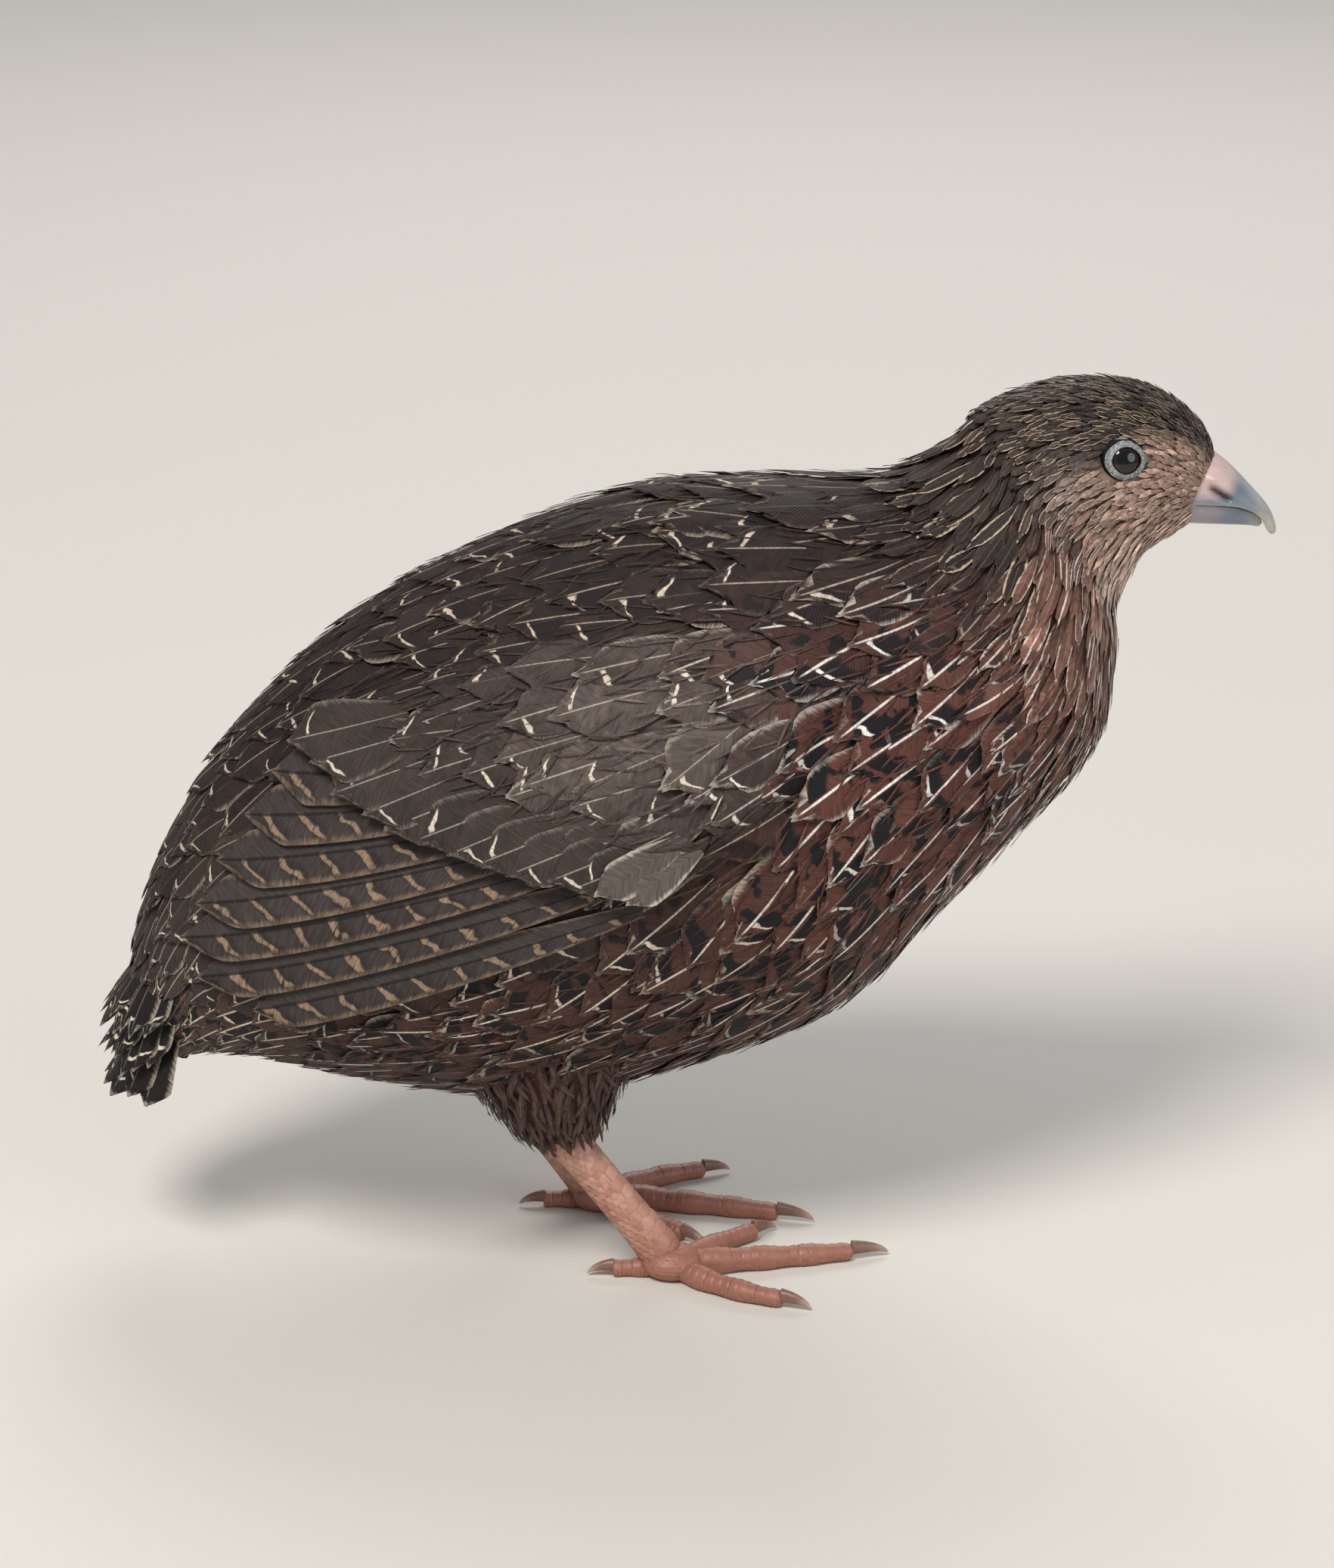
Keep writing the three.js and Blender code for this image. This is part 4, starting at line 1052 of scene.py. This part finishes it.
@dataclass
class Coat:
    """The small feathers of the trunk, neck, head and thighs, in tracts."""

    kit: Kit
    seed: int = 11

    @staticmethod
    def spacing(t: Array, closer: float) -> Array:
        """Distance between roots. Args: t: station places; closer: divides it. Returns: millimetres."""
        knots = [0, 1.5, 3, 6, 8, 9.5, 11, 12, 13.2, 14.5, 16]
        return np.interp(t, knots, [2.5, 3.1, 4.0, 4.7, 4.1, 2.2, 1.2, 0.86, 0.66, 0.54, 0.46]) / closer

    def plumes(self, tract: Tract, t: Array, angle: Array, rng: np.random.Generator) -> Plumes:
        """Sizes and colours of body feathers.

        Args:
            tract: their tract.
            t, angle: body places of the roots.
            rng: seeded random numbers.

        Returns:
            The feathers.
        """
        gap, depth, count = self.spacing(t, tract.closer), coat_depth(t), len(t)
        top = 0.12 if tract.closer > 1 else 0.0
        look = self.kit.plumage.on_body(t, angle, rng)
        if top:
            look.update({key: np.zeros(count) for key in ("streak", "hook", "edge", "blotch")},
                        coat=look["coat"] * rng.uniform(0.7, 1.35, (count, 1)))
        u, v = FLANK.place(body_point(t, angle, 0 * t))
        side = np.where(np.sin(angle) > 0, 1.0, -1.0)
        drop = (0.16 * np.exp(-((v - 30) / 9) ** 2) * (t < 8)
                - 0.42 * np.exp(-((v + 6) / 9) ** 2 - ((u - 16) / 22) ** 2))
        return Plumes(
            p=t, q=angle, length=gap * tract.stretch * rng.uniform(0.88, 1.14, count),
            half_width=gap * tract.plump * rng.uniform(0.86, 1.12, count),
            root_lift=-depth * (0.35 if top else 1.0),
            tip_lift=top + rng.normal(-0.1, 0.18, count) * np.clip(depth, 0, 1.2),
            yaw=-side * drop + rng.normal(0, 0.10 + 1.2 * top, count), **look)

    def tract(self, tract: Tract) -> list[bpy.types.Object]:
        """Builds one tract of the body coat. Args: tract. Returns: its pieces."""
        rng = np.random.default_rng(self.seed + len(tract.name) * 7 + int(tract.limits[0] * 10))
        t, angle = scatter(coat_point, tract.limits, lambda a, b: self.spacing(a, tract.closer), rng,
                           tract.tries)
        plumes = self.plumes(tract, t, angle, rng)
        if tract.keep is not None:
            tips = coat_point(t, angle, 0 * t) + plumes.axes(coat_point)[2] * plumes.length[:, None]
            plumes = plumes.part(tract.keep(t, angle, tips))
        pieces = []
        for k in range(tract.split):
            inside = (plumes.q >= TURN * k / tract.split) & (plumes.q < TURN * (k + 1) / tract.split)
            label = tract.name if tract.split == 1 else f"{tract.name}_{k + 1}"
            piece = feather_piece(label, coat_point, plumes.part(inside), tract.kind, rng)
            pieces.append(dress(piece, self.kit.feather))
        return pieces

    def thigh(self, foot: Foot) -> bpy.types.Object:
        """The hair-like feathers of a thigh. Args: foot. Returns: the piece."""
        rng = np.random.default_rng(self.seed + 90 + foot.side)

        def surface(p: Array, angle: Array, grow: Array) -> Array:
            """The thigh, with p run upwards. Args: p, angle, grow. Returns: xyz."""
            return foot.thigh_point(-p, angle, grow)

        def spacing(p: Array, angle: Array) -> Array:
            """Distance between roots. Args: p, angle. Returns: millimetres."""
            return np.interp(-p, [1, 4], [1.3, 0.9])

        p, angle = scatter(surface, (-3.3, -0.6), spacing, rng, 20000)
        count, gap = len(p), spacing(p, angle)
        plumes = Plumes(p=p, q=angle, length=gap * 4.6, half_width=gap * 0.34, root_lift=np.full(count, -1.3),
                        tip_lift=rng.normal(0.0, 0.35, count), yaw=rng.normal(0, 0.22, count),
                        **self.kit.plumage.plain(count, self.kit.plumage.thigh, rng, streak=0.05, blotch=0.3))
        piece = feather_piece(f"thigh_coat_{foot.word}", surface, plumes, Kind.WISP, rng)
        return dress(piece, self.kit.feather)

    def build(self) -> list[bpy.types.Object]:
        """Makes every tract. Returns: the pieces."""
        made = [piece for tract in TRACTS for piece in self.tract(tract)]
        return made + [self.thigh(foot) for foot in FEET]


@dataclass(frozen=True)
class Row:
    """One row of long feathers: their roots and tips from the lowest up, half widths and lifts at the ends."""

    name: str
    roots: tuple
    tips: tuple
    count: int
    half: tuple[float, float]
    lifts: tuple[float, float]
    kind: Kind
    lap: float
    tint: str
    marks: dict[str, float]


ROWS = (
    Row("flight_feathers",
        ((0, -1.4), (2, 2.2), (3, 5.6), (2.3, 8.9), (0.4, 11.6), (-2, 14.3), (-4.5, 17.5), (-7, 20.5)),
        ((-54.3, 1.6), (-58.6, 6.2), (-60.3, 10.8), (-57.6, 14.3), (-53.2, 17.8), (-48.6, 21.6), (-44.2, 25.2),
         (-39.8, 28.4)), 7, (3.1, 3.9), (0.5, 1.5), Kind.FLIGHT, 0.6, "flight", {"bar": 0.8, "edge": 0.45}),
    Row("greater_coverts", ((9, 5.0), (3, 9.6), (-4, 14.6), (-10, 19.6), (-15, 25.0), (-19, 30.4)),
        ((-6.5, 5.2), (-13.5, 9.4), (-20.4, 14.0), (-26.4, 18.8), (-31.5, 24.2), (-36, 30.2)), 11, (3.2, 4.2),
        (1.6, 3.6), Kind.COVERT, 0.35, "covert", {"streak": 0.35, "hook": 0.9, "blotch": 0.2, "edge": 0.15}),
    Row("thumb_feathers", ((9.0, 5.4), (10.0, 3.6)), ((-5.0, 3.6), (-1.5, 1.2)), 2, (2.6, 2.2), (2.0, 4.3),
        Kind.COVERT, 0.3, "thumb", {"edge": 0.5}),
)


@dataclass
class Wing:
    """A folded wing: flight feathers and the two rows of larger coverts over their roots."""

    kit: Kit
    left: bool

    def row(self, row: Row, rng: np.random.Generator) -> bpy.types.Object:
        """One row of long feathers. Args: row; rng: seeded random numbers. Returns: the piece."""
        count, plumage = row.count, self.kit.plumage
        look = plumage.plain(count, getattr(plumage, row.tint), rng, **row.marks)
        place = np.linspace(0, len(row.tips) - 1, count)
        root, tip = (spline(np.array(ends, float), place) for ends in (row.roots, row.tips))
        way = tip + rng.normal(0, 0.5, tip.shape) * (1, 0.3) - root
        length = np.linalg.norm(way, axis=1)
        way = way / length[:, None]

        def surface(p: Array, w: Array, lift: Array) -> Array:
            """Straight lines over the flank. Args: p, falling from 0; w: across; lift. Returns: xyz."""
            a, b, du, dv = (column(k, p) for k in (*root.T, *way.T))
            return FLANK.point(a - du * p + dv * w, b - dv * p - du * w, lift, self.left)

        plumes = Plumes(p=np.zeros(count), q=np.zeros(count), length=length,
                        half_width=np.linspace(*row.half, count),
                        root_lift=np.full(count, row.lifts[0]), tip_lift=np.full(count, row.lifts[1]),
                        yaw=np.zeros(count), camber=0.03, lap=row.lap, **look)
        name = f"{row.name}_{'left' if self.left else 'right'}"
        return feather_piece(name, surface, plumes, row.kind, rng, (-root[:, 0], root[:, 1]))

    def build(self) -> list[bpy.types.Object]:
        """Makes the wing. Returns: the pieces."""
        rng = np.random.default_rng(40 + self.left)
        made = [self.row(row, rng) for row in ROWS]
        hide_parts("wing_left" if self.left else "wing_right")
        return [dress(piece, self.kit.feather) for piece in made]


@dataclass
class Tail:
    """The short drooping tail. Each tier: name, count, start, length, reach, half width, two lifts, fan."""

    kit: Kit
    tiers: tuple = (
        ("tail_feathers", 9, 4.0, 20.5, 12.5, 3.3, 0.2, 0.8, 20.0),
        ("tail_lower_coverts", 15, 1.0, 18.5, 12.0, 2.9, 2.6, 3.4, 24.0),
        ("tail_upper_coverts", 15, -3.0, 18.0, 12.0, 2.9, 4.4, 6.2, 24.0),
    )

    def build(self) -> list[bpy.types.Object]:
        """Makes the tail. Returns: the pieces."""
        made, plumage = [], self.kit.plumage
        for number, (name, count, start, length, reach, half, low, high, fan) in enumerate(self.tiers):
            rng = np.random.default_rng(70 + number)
            share = np.linspace(-1, 1, count) + rng.normal(0, 0.02, count)
            y0, splay = share * reach * 0.55, np.radians(share * fan)
            size = length * (1 - 0.16 * share ** 2) * rng.uniform(0.9, 1.06, count)

            def surface(p: Array, q: Array, lift: Array, y0: Array = y0, splay: Array = splay,
                        start: float = start) -> Array:
                """Fanned lines down the tail. Args: p, falling; q; lift; the tier's own. Returns: xyz."""
                c, s = column(np.cos(splay), p), column(np.sin(splay), p)
                return tail_point(start - p * c - q * s, column(y0, p) - p * s + q * c, lift)

            stack = 0.35 * (1 - np.abs(share))
            tip_lift = high + stack + rng.normal(0, 0.25, count)
            look = plumage.plain(count, plumage.tail, rng, streak=0.25, hook=1.0, edge=0.4, blotch=0.4)
            plumes = Plumes(p=np.zeros(count), q=np.zeros(count), length=size, half_width=np.full(count, half),
                            root_lift=low + stack, tip_lift=tip_lift, yaw=np.zeros(count), camber=0.10, **look)
            kind = Kind.COVERT if number else Kind.FLIGHT
            piece = feather_piece(name, surface, plumes, kind, rng, (y0, share * 0.5))
            made.append(dress(piece, self.kit.feather))
        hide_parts("tail")
        return made


@dataclass
class Eye:
    """An eyeball and its bare, beaded lids."""

    kit: Kit
    foot: Foot
    lid: tuple[float, float] = (2.26, 1.90)
    tube: float = 0.40
    bead: float = 0.10

    def build(self) -> list[bpy.types.Object]:
        """Makes the eye. Returns: the pieces."""
        side, word = self.foot.side, self.foot.word
        centre, look = EYE * (1, side, 1), EYE_LOOK * (1, side, 1)
        up = UP - look * look[2]
        up /= np.linalg.norm(up)
        ahead = np.cross(up, look) * -side

        def ball(s: Array, angle: Array) -> Array:
            """The eyeball. Args: s: 0 front to 1 back; angle. Returns: xyz."""
            ring = np.cos(angle)[:, None] * ahead + np.sin(angle)[:, None] * up
            away = (s * math.pi)[:, None]
            return centre + EYE_RADIUS * (np.cos(away) * look + np.sin(away) * ring)

        eye, s, _ = shaped_sphere(f"eyeball_{word}", 48, 40, ball)
        store_colour(eye, "Gaze", (s * math.pi)[:, None])
        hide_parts(f"eye_{word}")

        select_only()
        bpy.ops.mesh.primitive_torus_add(major_segments=110, minor_segments=28, major_radius=1.0,
                                         minor_radius=0.25)
        lids = bpy.context.active_object
        lids.name = f"lids_{word}"
        x, y, z = stored_points(lids).T
        major, minor = np.arctan2(y, x), np.arctan2(z, np.hypot(x, y) - 1)
        out, height = np.cos(minor), np.sin(minor)
        edge, mark = cells(major * 2.5, minor * 0.60, 0.36, 0.36)
        depth = np.clip(edge / self.bead, 0, 1)
        tube = self.tube + depth ** 0.7 * (0.06 + 0.08 * mark) * (height > -0.3)
        reach = np.where(out > 0, 1.05, 0.72) * tube * out
        wide, tall = self.lid[0] + reach, self.lid[1] + reach - 0.16 * np.cos(2 * major)
        level = 2.72 + 0.70 * tube * height - 0.28 * out
        ring = (wide * np.cos(major))[:, None] * ahead + (tall * np.sin(major))[:, None] * up
        settle(lids, centre + ring + level[:, None] * look)
        store_colour(lids, "Horn", depth, ease(0.45, 0.9, -out), mark)
        return [dress(eye, self.kit.eye), dress(lids, self.kit.bare)]


@dataclass
class Bill:
    """The hooked bill: an upper and a lower half with a closed gape, and nostrils under their flaps."""

    kit: Kit
    ridge: tuple = ((71.0, 114.2), (75.3, 111.4), (78.9, 107.9), (81.8, 104.5), (83.1, 101.0))
    cut: tuple = ((67.5, 106.2), (72.5, 106.1), (77.5, 105.4), (80.4, 103.7), (81.8, 101.0))
    low_cut: tuple = ((67.5, 106.0), (72.3, 105.9), (76.9, 105.2), (79.6, 104.1), (81.0, 102.8))
    under: tuple = ((67.5, 102.9), (72.0, 102.6), (76.2, 102.4), (79.2, 102.2), (80.6, 101.9))
    upper_half: tuple = (5.4, 4.9, 3.7, 2.3, 0.95)
    lower_half: tuple = (5.0, 4.3, 3.1, 1.6, 0.5)

    @staticmethod
    def place(edge: tuple, crest: tuple, halves: tuple, s: Array, angle: Array) -> Array:
        """A place on a bill half. Args: edge, crest: its curves; halves: widths; s, angle. Returns: xyz."""
        low, high, half = (spline(np.array(k, float).reshape(5, -1), s * 4) for k in (edge, crest, halves))
        across, rise = np.cos(angle), np.sin(angle)
        up = np.where(rise > 0, np.abs(rise) ** 0.95, -0.05 * np.abs(rise))
        y = half[:, 0] * across * np.where(rise > 0, 1.0, 0.97)
        blunt = np.sqrt(np.clip(1 - ((s - 0.86) / 0.14) ** 2, 0, 1)) * (s > 0.86) + (s <= 0.86)
        blunt = np.where(at_end(s), 0.0, blunt)
        flat = low + (high - low) * (0.45 + (up - 0.45) * blunt)[:, None]
        return np.stack([flat[:, 0], y * blunt, flat[:, 1]], -1)

    @staticmethod
    def nostril(points: Array, along: float, long: float, over: float, high: float, power: int = 2) -> Array:
        """A soft patch by the nostril. Args: points; its offset and half size each way. Returns: 0 to 1."""
        dx, dz = points[:, 0] - 75.2, points[:, 2] - 109.0
        a, b = (dx * 0.84 - dz * 0.54 + along) / long, (dx * 0.54 + dz * 0.84 - over) / high
        return np.exp(-a ** 4 - np.abs(b) ** power)

    def upper(self, s: Array, angle: Array) -> Array:
        """The upper half. Args: s: 0 root to 1 tip; angle. Returns: xyz."""
        points = self.place(self.cut, self.ridge, self.upper_half, s, angle)
        for side in (-1, 1):
            facing = ease(0.6, 2.0, points[:, 1] * side)
            swell = self.nostril(points, 0, 2.3, 0.1, 1.25, 4)
            slit = self.nostril(points, -0.5, 1.7, -1.62, 0.42)
            points[:, 1] += side * facing * (0.95 * swell - 1.3 * slit)
        return points

    def lower(self, s: Array, angle: Array) -> Array:
        """The lower half. Args: s: 0 root to 1 tip; angle. Returns: xyz."""
        return self.place(self.low_cut, self.under, self.lower_half, s, angle)

    def build(self) -> list[bpy.types.Object]:
        """Makes the bill. Returns: the pieces."""
        made = []
        for node, shape in (("bill_upper", self.upper), ("bill_lower", self.lower)):
            piece, _, _ = shaped_sphere(f"{node}_horn", 88, 110, shape)
            xyz = bird_points(piece)
            x, _, z = xyz.T
            top, gape = (z - np.interp(x, *np.array(line).T) for line in (self.ridge, self.cut))
            tip = ease(77.5, 82.0, x) * (0.55 + 0.45 * ease(105.5, 102.5, z))
            root = 1 - ease(74.6, 77.6, x + 0.35 * (107.5 - z))
            if node == "bill_upper":
                # slit here is where painted shade darkens the nostril slit
                root, slit = root * ease(106.2, 108.0, z), self.nostril(xyz, -0.5, 1.45, -1.62, 0.30) * 0.85
            else:
                root, slit = root * 0.35, 0 * root
            thin = np.clip(tip + 0.5 * np.exp(-(gape / 0.35) ** 2), 0, 1)
            store_colour(piece, "Horn", thin, np.clip(root, 0, 1), ease(-1.6, -0.2, top) * 0.6)
            store_colour(piece, "Deep", slit[:, None])
            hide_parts(node)
            made.append(dress(piece, self.kit.bill))
        return made


@dataclass(frozen=True)
class Toe:
    """A toe's line, thickness and claw. turn and bend are towards the midline, in degrees."""

    name: str
    turn: float
    bend: float
    length: float
    base: float
    tip: float
    scutes: int
    claw: float

    def place(self, foot: Foot, distance: Array) -> tuple[Array, Array, Array]:
        """The toe's line on the floor. Args: foot; distance from the pad. Returns: point, way, across."""
        steps = 6
        point = np.repeat(np.array((foot.x, foot.y, 0.0))[None], len(distance), 0)
        for i in range(steps):
            gained = self.bend * np.minimum(1, (i + 0.5) * distance / (steps * self.length))
            turn = np.radians(-foot.side * (self.turn + foot.turn + gained))
            way = np.stack([np.cos(turn), np.sin(turn), 0 * turn], -1)
            point = point + way * (distance / steps)[:, None]
        return point, way, np.stack([-way[:, 1], way[:, 0], 0 * turn], -1)


TOES = (
    Toe("hind", 178, 0, 8.2, 1.45, 1.1, 6, 4.2),
    Toe("inner", 50, -12, 17.0, 1.75, 1.2, 13, 4.8),
    Toe("middle", 6, 6, 25.5, 1.95, 1.25, 19, 6.0),
    Toe("outer", -56, 36, 18.5, 1.75, 1.2, 15, 4.8),
)


@dataclass
class Leg:
    """A scaly leg: shank, pad and toes in one piece, and four claws."""

    kit: Kit
    foot: Foot

    def shank(self) -> bpy.types.Object:
        """The shank with its plates. Returns: the object, with its look stored."""
        foot = self.foot
        ankle = np.array((foot.x - 0.6, foot.y, 2.4))
        way = (ankle - foot.hock) / np.linalg.norm(ankle - foot.hock)
        start = foot.hock + way * 1.0
        length = np.linalg.norm(ankle - start)
        front = -np.cross((0, 1, 0), way)
        front /= np.linalg.norm(front)

        def relief(s: Array, angle: Array) -> tuple[Array, Array]:
            """Large plates in front, small ones behind. Args: s, angle. Returns: depth, plate number."""
            arc = angle * 2.3
            big_edge, big = cells(s * length, arc - 0.01, 1.75, 2.0)
            small_edge, small = cells(s * length, arc, 0.95, 0.9)
            fore = ease(0.35, 0.6, np.cos(angle))
            edge = blend(np.clip(small_edge / 0.22, 0, 1), np.clip(big_edge / 0.30, 0, 1), fore)
            return edge, blend(small, big, fore)

        def shape(s: Array, angle: Array) -> Array:
            """The shank. Args: s: 0 hock to 1 ankle; angle: from its front. Returns: xyz."""
            swell = 1 + 0.22 * (1 - s) ** 4 + 0.25 * s ** 6
            close = np.sqrt(np.clip(1 - ((s - 0.5) / 0.5) ** 24, 0, 1))
            bump = 0.24 * (relief(s, angle)[0] ** 0.5 - 0.5) * close
            deep = (2.5 * swell + bump) * np.cos(angle) * close
            wide = (2.1 * swell + bump) * np.sin(angle) * close
            return start + (s * length)[:, None] * way + deep[:, None] * front + wide[:, None] * (0, 1.0, 0)

        piece, _, _ = shaped_sphere("shank", 64, 190, shape)
        rel = bird_points(piece) - start
        s = rel @ way / length
        store_colour(piece, "Scale", *relief(s, np.arctan2(rel[:, 1], rel @ front)), 0.75 * ease(0.7, 1.0, s))
        return piece

    def toe(self, toe: Toe) -> bpy.types.Object:
        """One toe with its scutes. Args: toe. Returns: the object, with its look stored."""
        def relief(s: Array, angle: Array) -> tuple[Array, Array]:
            """Scutes above, grains below. Args: s, angle. Returns: depth, plate number."""
            at = s * toe.scutes
            share = at - np.floor(at)
            plate = np.clip(np.minimum(share, 1 - share) * toe.length / toe.scutes / 0.13, 0, 1)
            grain, number = cells(s * toe.length, angle * 1.6, 0.62, 0.62)
            top = ease(0.05, 0.35, np.cos(angle))
            number = blend(number, np.modf(np.floor(at) * 0.618)[0], top)
            return blend(np.clip(grain / 0.16, 0, 1), plate, top), number

        def shape(s: Array, angle: Array) -> Array:
            """The toe. Args: s: 0 pad to 1 claw; angle: from its top. Returns: xyz."""
            thick = blend(toe.base, toe.tip, s)
            radius = thick * (1 + 0.08 * np.cos(TURN * s * max(2, round(toe.length / 7))))
            radius = radius * np.sqrt(np.clip(1 - (np.abs(s - 0.5) / 0.5) ** 20, 0, 1))
            at = s * toe.scutes
            tooth = (at - np.floor(at)) * 0.12 * ease(0.05, 0.35, np.cos(angle))
            reach = radius * 0.94 + (0.20 * (relief(s, angle)[0] ** 0.5 - 0.6) + tooth) * (radius > 0.6)
            point, _, across = toe.place(self.foot, s * toe.length)
            height = np.maximum(0.0, thick * 0.93 + reach * np.cos(angle))
            return point + (reach * np.sin(angle))[:, None] * across + height[:, None] * UP

        piece, s, _ = shaped_sphere("toe", 40, 130, shape)
        xyz = bird_points(piece)
        point, _, across = toe.place(self.foot, s * toe.length)
        rise = xyz[:, 2] - blend(toe.base, toe.tip, s) * 0.93
        store_colour(piece, "Scale", *relief(s, np.arctan2(np.sum((xyz - point) * across, -1), rise)), 0.85)
        return piece

    def pad(self) -> bpy.types.Object:
        """The pad under the ankle. Returns: the object, with its look stored."""
        centre, size = np.array((self.foot.x, self.foot.y, 2.1)), np.array((4.2, 3.8, 2.45))

        def relief(away: Array, angle: Array) -> tuple[Array, Array]:
            """Grains all over. Args: away: from the top; angle. Returns: depth, grain number."""
            edge, number = cells(away * 3.4, angle * 3.2 * np.sin(away), 0.8, 0.8)
            return np.clip(edge / 0.2, 0, 1), number

        def shape(s: Array, angle: Array) -> Array:
            """The pad. Args: s: 0 top to 1 bottom; angle. Returns: xyz."""
            away = s * math.pi
            bump = 1 + 0.05 * (relief(away, angle)[0] ** 0.5 - 0.6)
            out = np.stack([np.sin(away) * np.cos(angle), np.sin(away) * np.sin(angle), np.cos(away)], -1)
            xyz = centre + size * out * bump[:, None]
            xyz[:, 2] = np.maximum(0, xyz[:, 2])
            return xyz

        piece, _, _ = shaped_sphere("pad", 64, 60, shape)
        x, y, z = ((bird_points(piece) - centre) / size).T
        store_colour(piece, "Scale", *relief(np.arctan2(np.hypot(x, y), z), np.arctan2(y, x)), 0.8)
        return piece

    def claw(self, toe: Toe) -> bpy.types.Object:
        """One claw. Args: toe: the toe it ends. Returns: the piece."""
        radius, node = toe.tip * 0.82, f"claw_{toe.name}_{self.foot.word}"

        def shape(s: Array, angle: Array) -> Array:
            """The claw. Args: s: 0 root to 1 tip; angle: from its top. Returns: xyz."""
            point, way, across = toe.place(self.foot, np.full(len(s), toe.length - 0.4))
            reach = toe.claw * np.sin(s * 1.22) * 0.96
            half = (radius * (1 - s) ** 0.7 + 0.06) * np.where(at_end(s), 0, 1)
            groove = 1 - 0.22 * ease(0.5, 1.0, -np.cos(angle))
            height = radius * 1.15 + 0.5 - 1.1 * s ** 2 + half * 1.05 * np.cos(angle) * groove
            xyz = point + reach[:, None] * way + (half * 0.78 * np.sin(angle))[:, None] * across
            return xyz + height[:, None] * UP

        piece, s, _ = shaped_sphere(f"{node}_horn", 20, 36, shape)
        store_colour(piece, "Horn", ease(0.3, 1.0, s), 0.0, 0.0)
        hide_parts(node)
        return dress(piece, self.kit.claw)

    def build(self) -> list[bpy.types.Object]:
        """Makes the leg. Returns: the pieces."""
        word = self.foot.word
        leg = join_pieces([self.shank(), self.pad(), *(self.toe(toe) for toe in TOES)], f"leg_scales_{word}")
        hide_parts(f"shank_{word}", *(f"toe_{toe.name}_{word}" for toe in TOES))
        return [dress(leg, self.kit.scale), *(self.claw(toe) for toe in TOES)]


@dataclass
class Studio:
    """A pale floor that curves up behind, soft lights, and the camera at the photograph's angle."""

    target: tuple = (2.31, 0.0, 66.2)
    elevation: float = 18.0
    distance: float = 600.0
    focal_pixels: float = 5893.5
    long_side: int = 2073
    sensor: float = 36.0
    floor_from: float = -2.2
    bend_from: float = 1.2
    bend_radius: float = 1.1
    lamps: tuple = (
        ("key", (-0.35, -0.8, 1.1), 0.5, 15.0, (1.0, 0.97, 0.93)),
        ("fill", (0.95, -0.75, 0.5), 0.8, 4.0, (0.93, 0.96, 1.0)),
        ("back", (0.1, 0.95, 1.0), 0.9, 7.0, (1.0, 1.0, 1.0)),
    )

    def floor(self) -> None:
        """Makes the floor and its backdrop."""
        select_only()
        bpy.ops.mesh.primitive_grid_add(x_subdivisions=2, y_subdivisions=60, size=1.0)
        sweep = bpy.context.active_object
        sweep.name = "studio_floor"
        radius = self.bend_radius
        for vertex in sweep.data.vertices:
            x, y = vertex.co.x * 9.0, (vertex.co.y + 0.5) * 7.0 + self.floor_from
            bend = max(0.0, y - self.bend_from)
            turn = min(bend / radius, math.pi / 2)
            rise = radius * (1 - math.cos(turn)) + max(0.0, bend - radius * math.pi / 2)
            vertex.co = (x, y - bend + radius * math.sin(turn), rise)
        bpy.ops.object.shade_smooth()
        sweep.data.materials.append(Finish("studio_paper").done("d9d4cb", Roughness=0.9))

    def light(self, name: str, place: tuple, size: float, power: float, colour: tuple) -> None:
        """One soft lamp aimed at the bird. Args: name, place, size, power, colour."""
        lamp = bpy.data.lights.new(name, "AREA")
        lamp.shape, lamp.size, lamp.energy, lamp.color = "DISK", size, power, colour
        holder = bpy.data.objects.new(name, lamp)
        holder.location = place
        aim = Vector((0, 0, 0.06)) - Vector(place)
        holder.rotation_euler = aim.to_track_quat("-Z", "Y").to_euler()
        bpy.context.collection.objects.link(holder)

    def build(self) -> None:
        """Makes the stage."""
        self.floor()
        for lamp in self.lamps:
            self.light(*lamp)
        world = bpy.context.scene.world or bpy.data.worlds.new("studio")
        bpy.context.scene.world = world
        world.use_nodes = True
        back = world.node_tree.nodes["Background"]
        back.inputs["Color"].default_value = (0.85, 0.9, 1.0, 1)
        back.inputs["Strength"].default_value = 0.34
        lens = bpy.data.cameras.new("camera")
        lens.sensor_width, lens.lens = self.sensor, self.focal_pixels * self.sensor / self.long_side
        lens.clip_start, lens.clip_end = 0.05, 50.0
        camera = bpy.data.objects.new("camera", lens)
        tilt = math.radians(self.elevation)
        offset = np.array((0, -math.cos(tilt), math.sin(tilt))) * self.distance
        camera.location = ((np.array(self.target) + offset + SHIFT) * MM).tolist()
        camera.rotation_euler = (math.pi / 2 - tilt, 0, 0)
        bpy.context.collection.objects.link(camera)
        bpy.context.scene.camera = camera


def main() -> None:
    """Builds the bird and its stage, and writes the two sizes."""
    logging.basicConfig(level=logging.INFO, format="%(name)s %(message)s")
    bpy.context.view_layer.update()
    bpy.context.scene.view_settings.view_transform = "Standard"
    kit = Kit()
    Studio().build()
    assemblies = [Skin(kit), Coat(kit), Wing(kit, False), Wing(kit, True), Tail(kit), Bill(kit)]
    assemblies += [part(kit, foot) for foot in FEET for part in (Eye, Leg)]
    pieces = [piece for assembly in assemblies for piece in assembly.build()]
    LOG.info("%d pieces, %d faces", len(pieces), sum(len(piece.data.polygons) for piece in pieces))


if __name__ == "__main__":
    main()
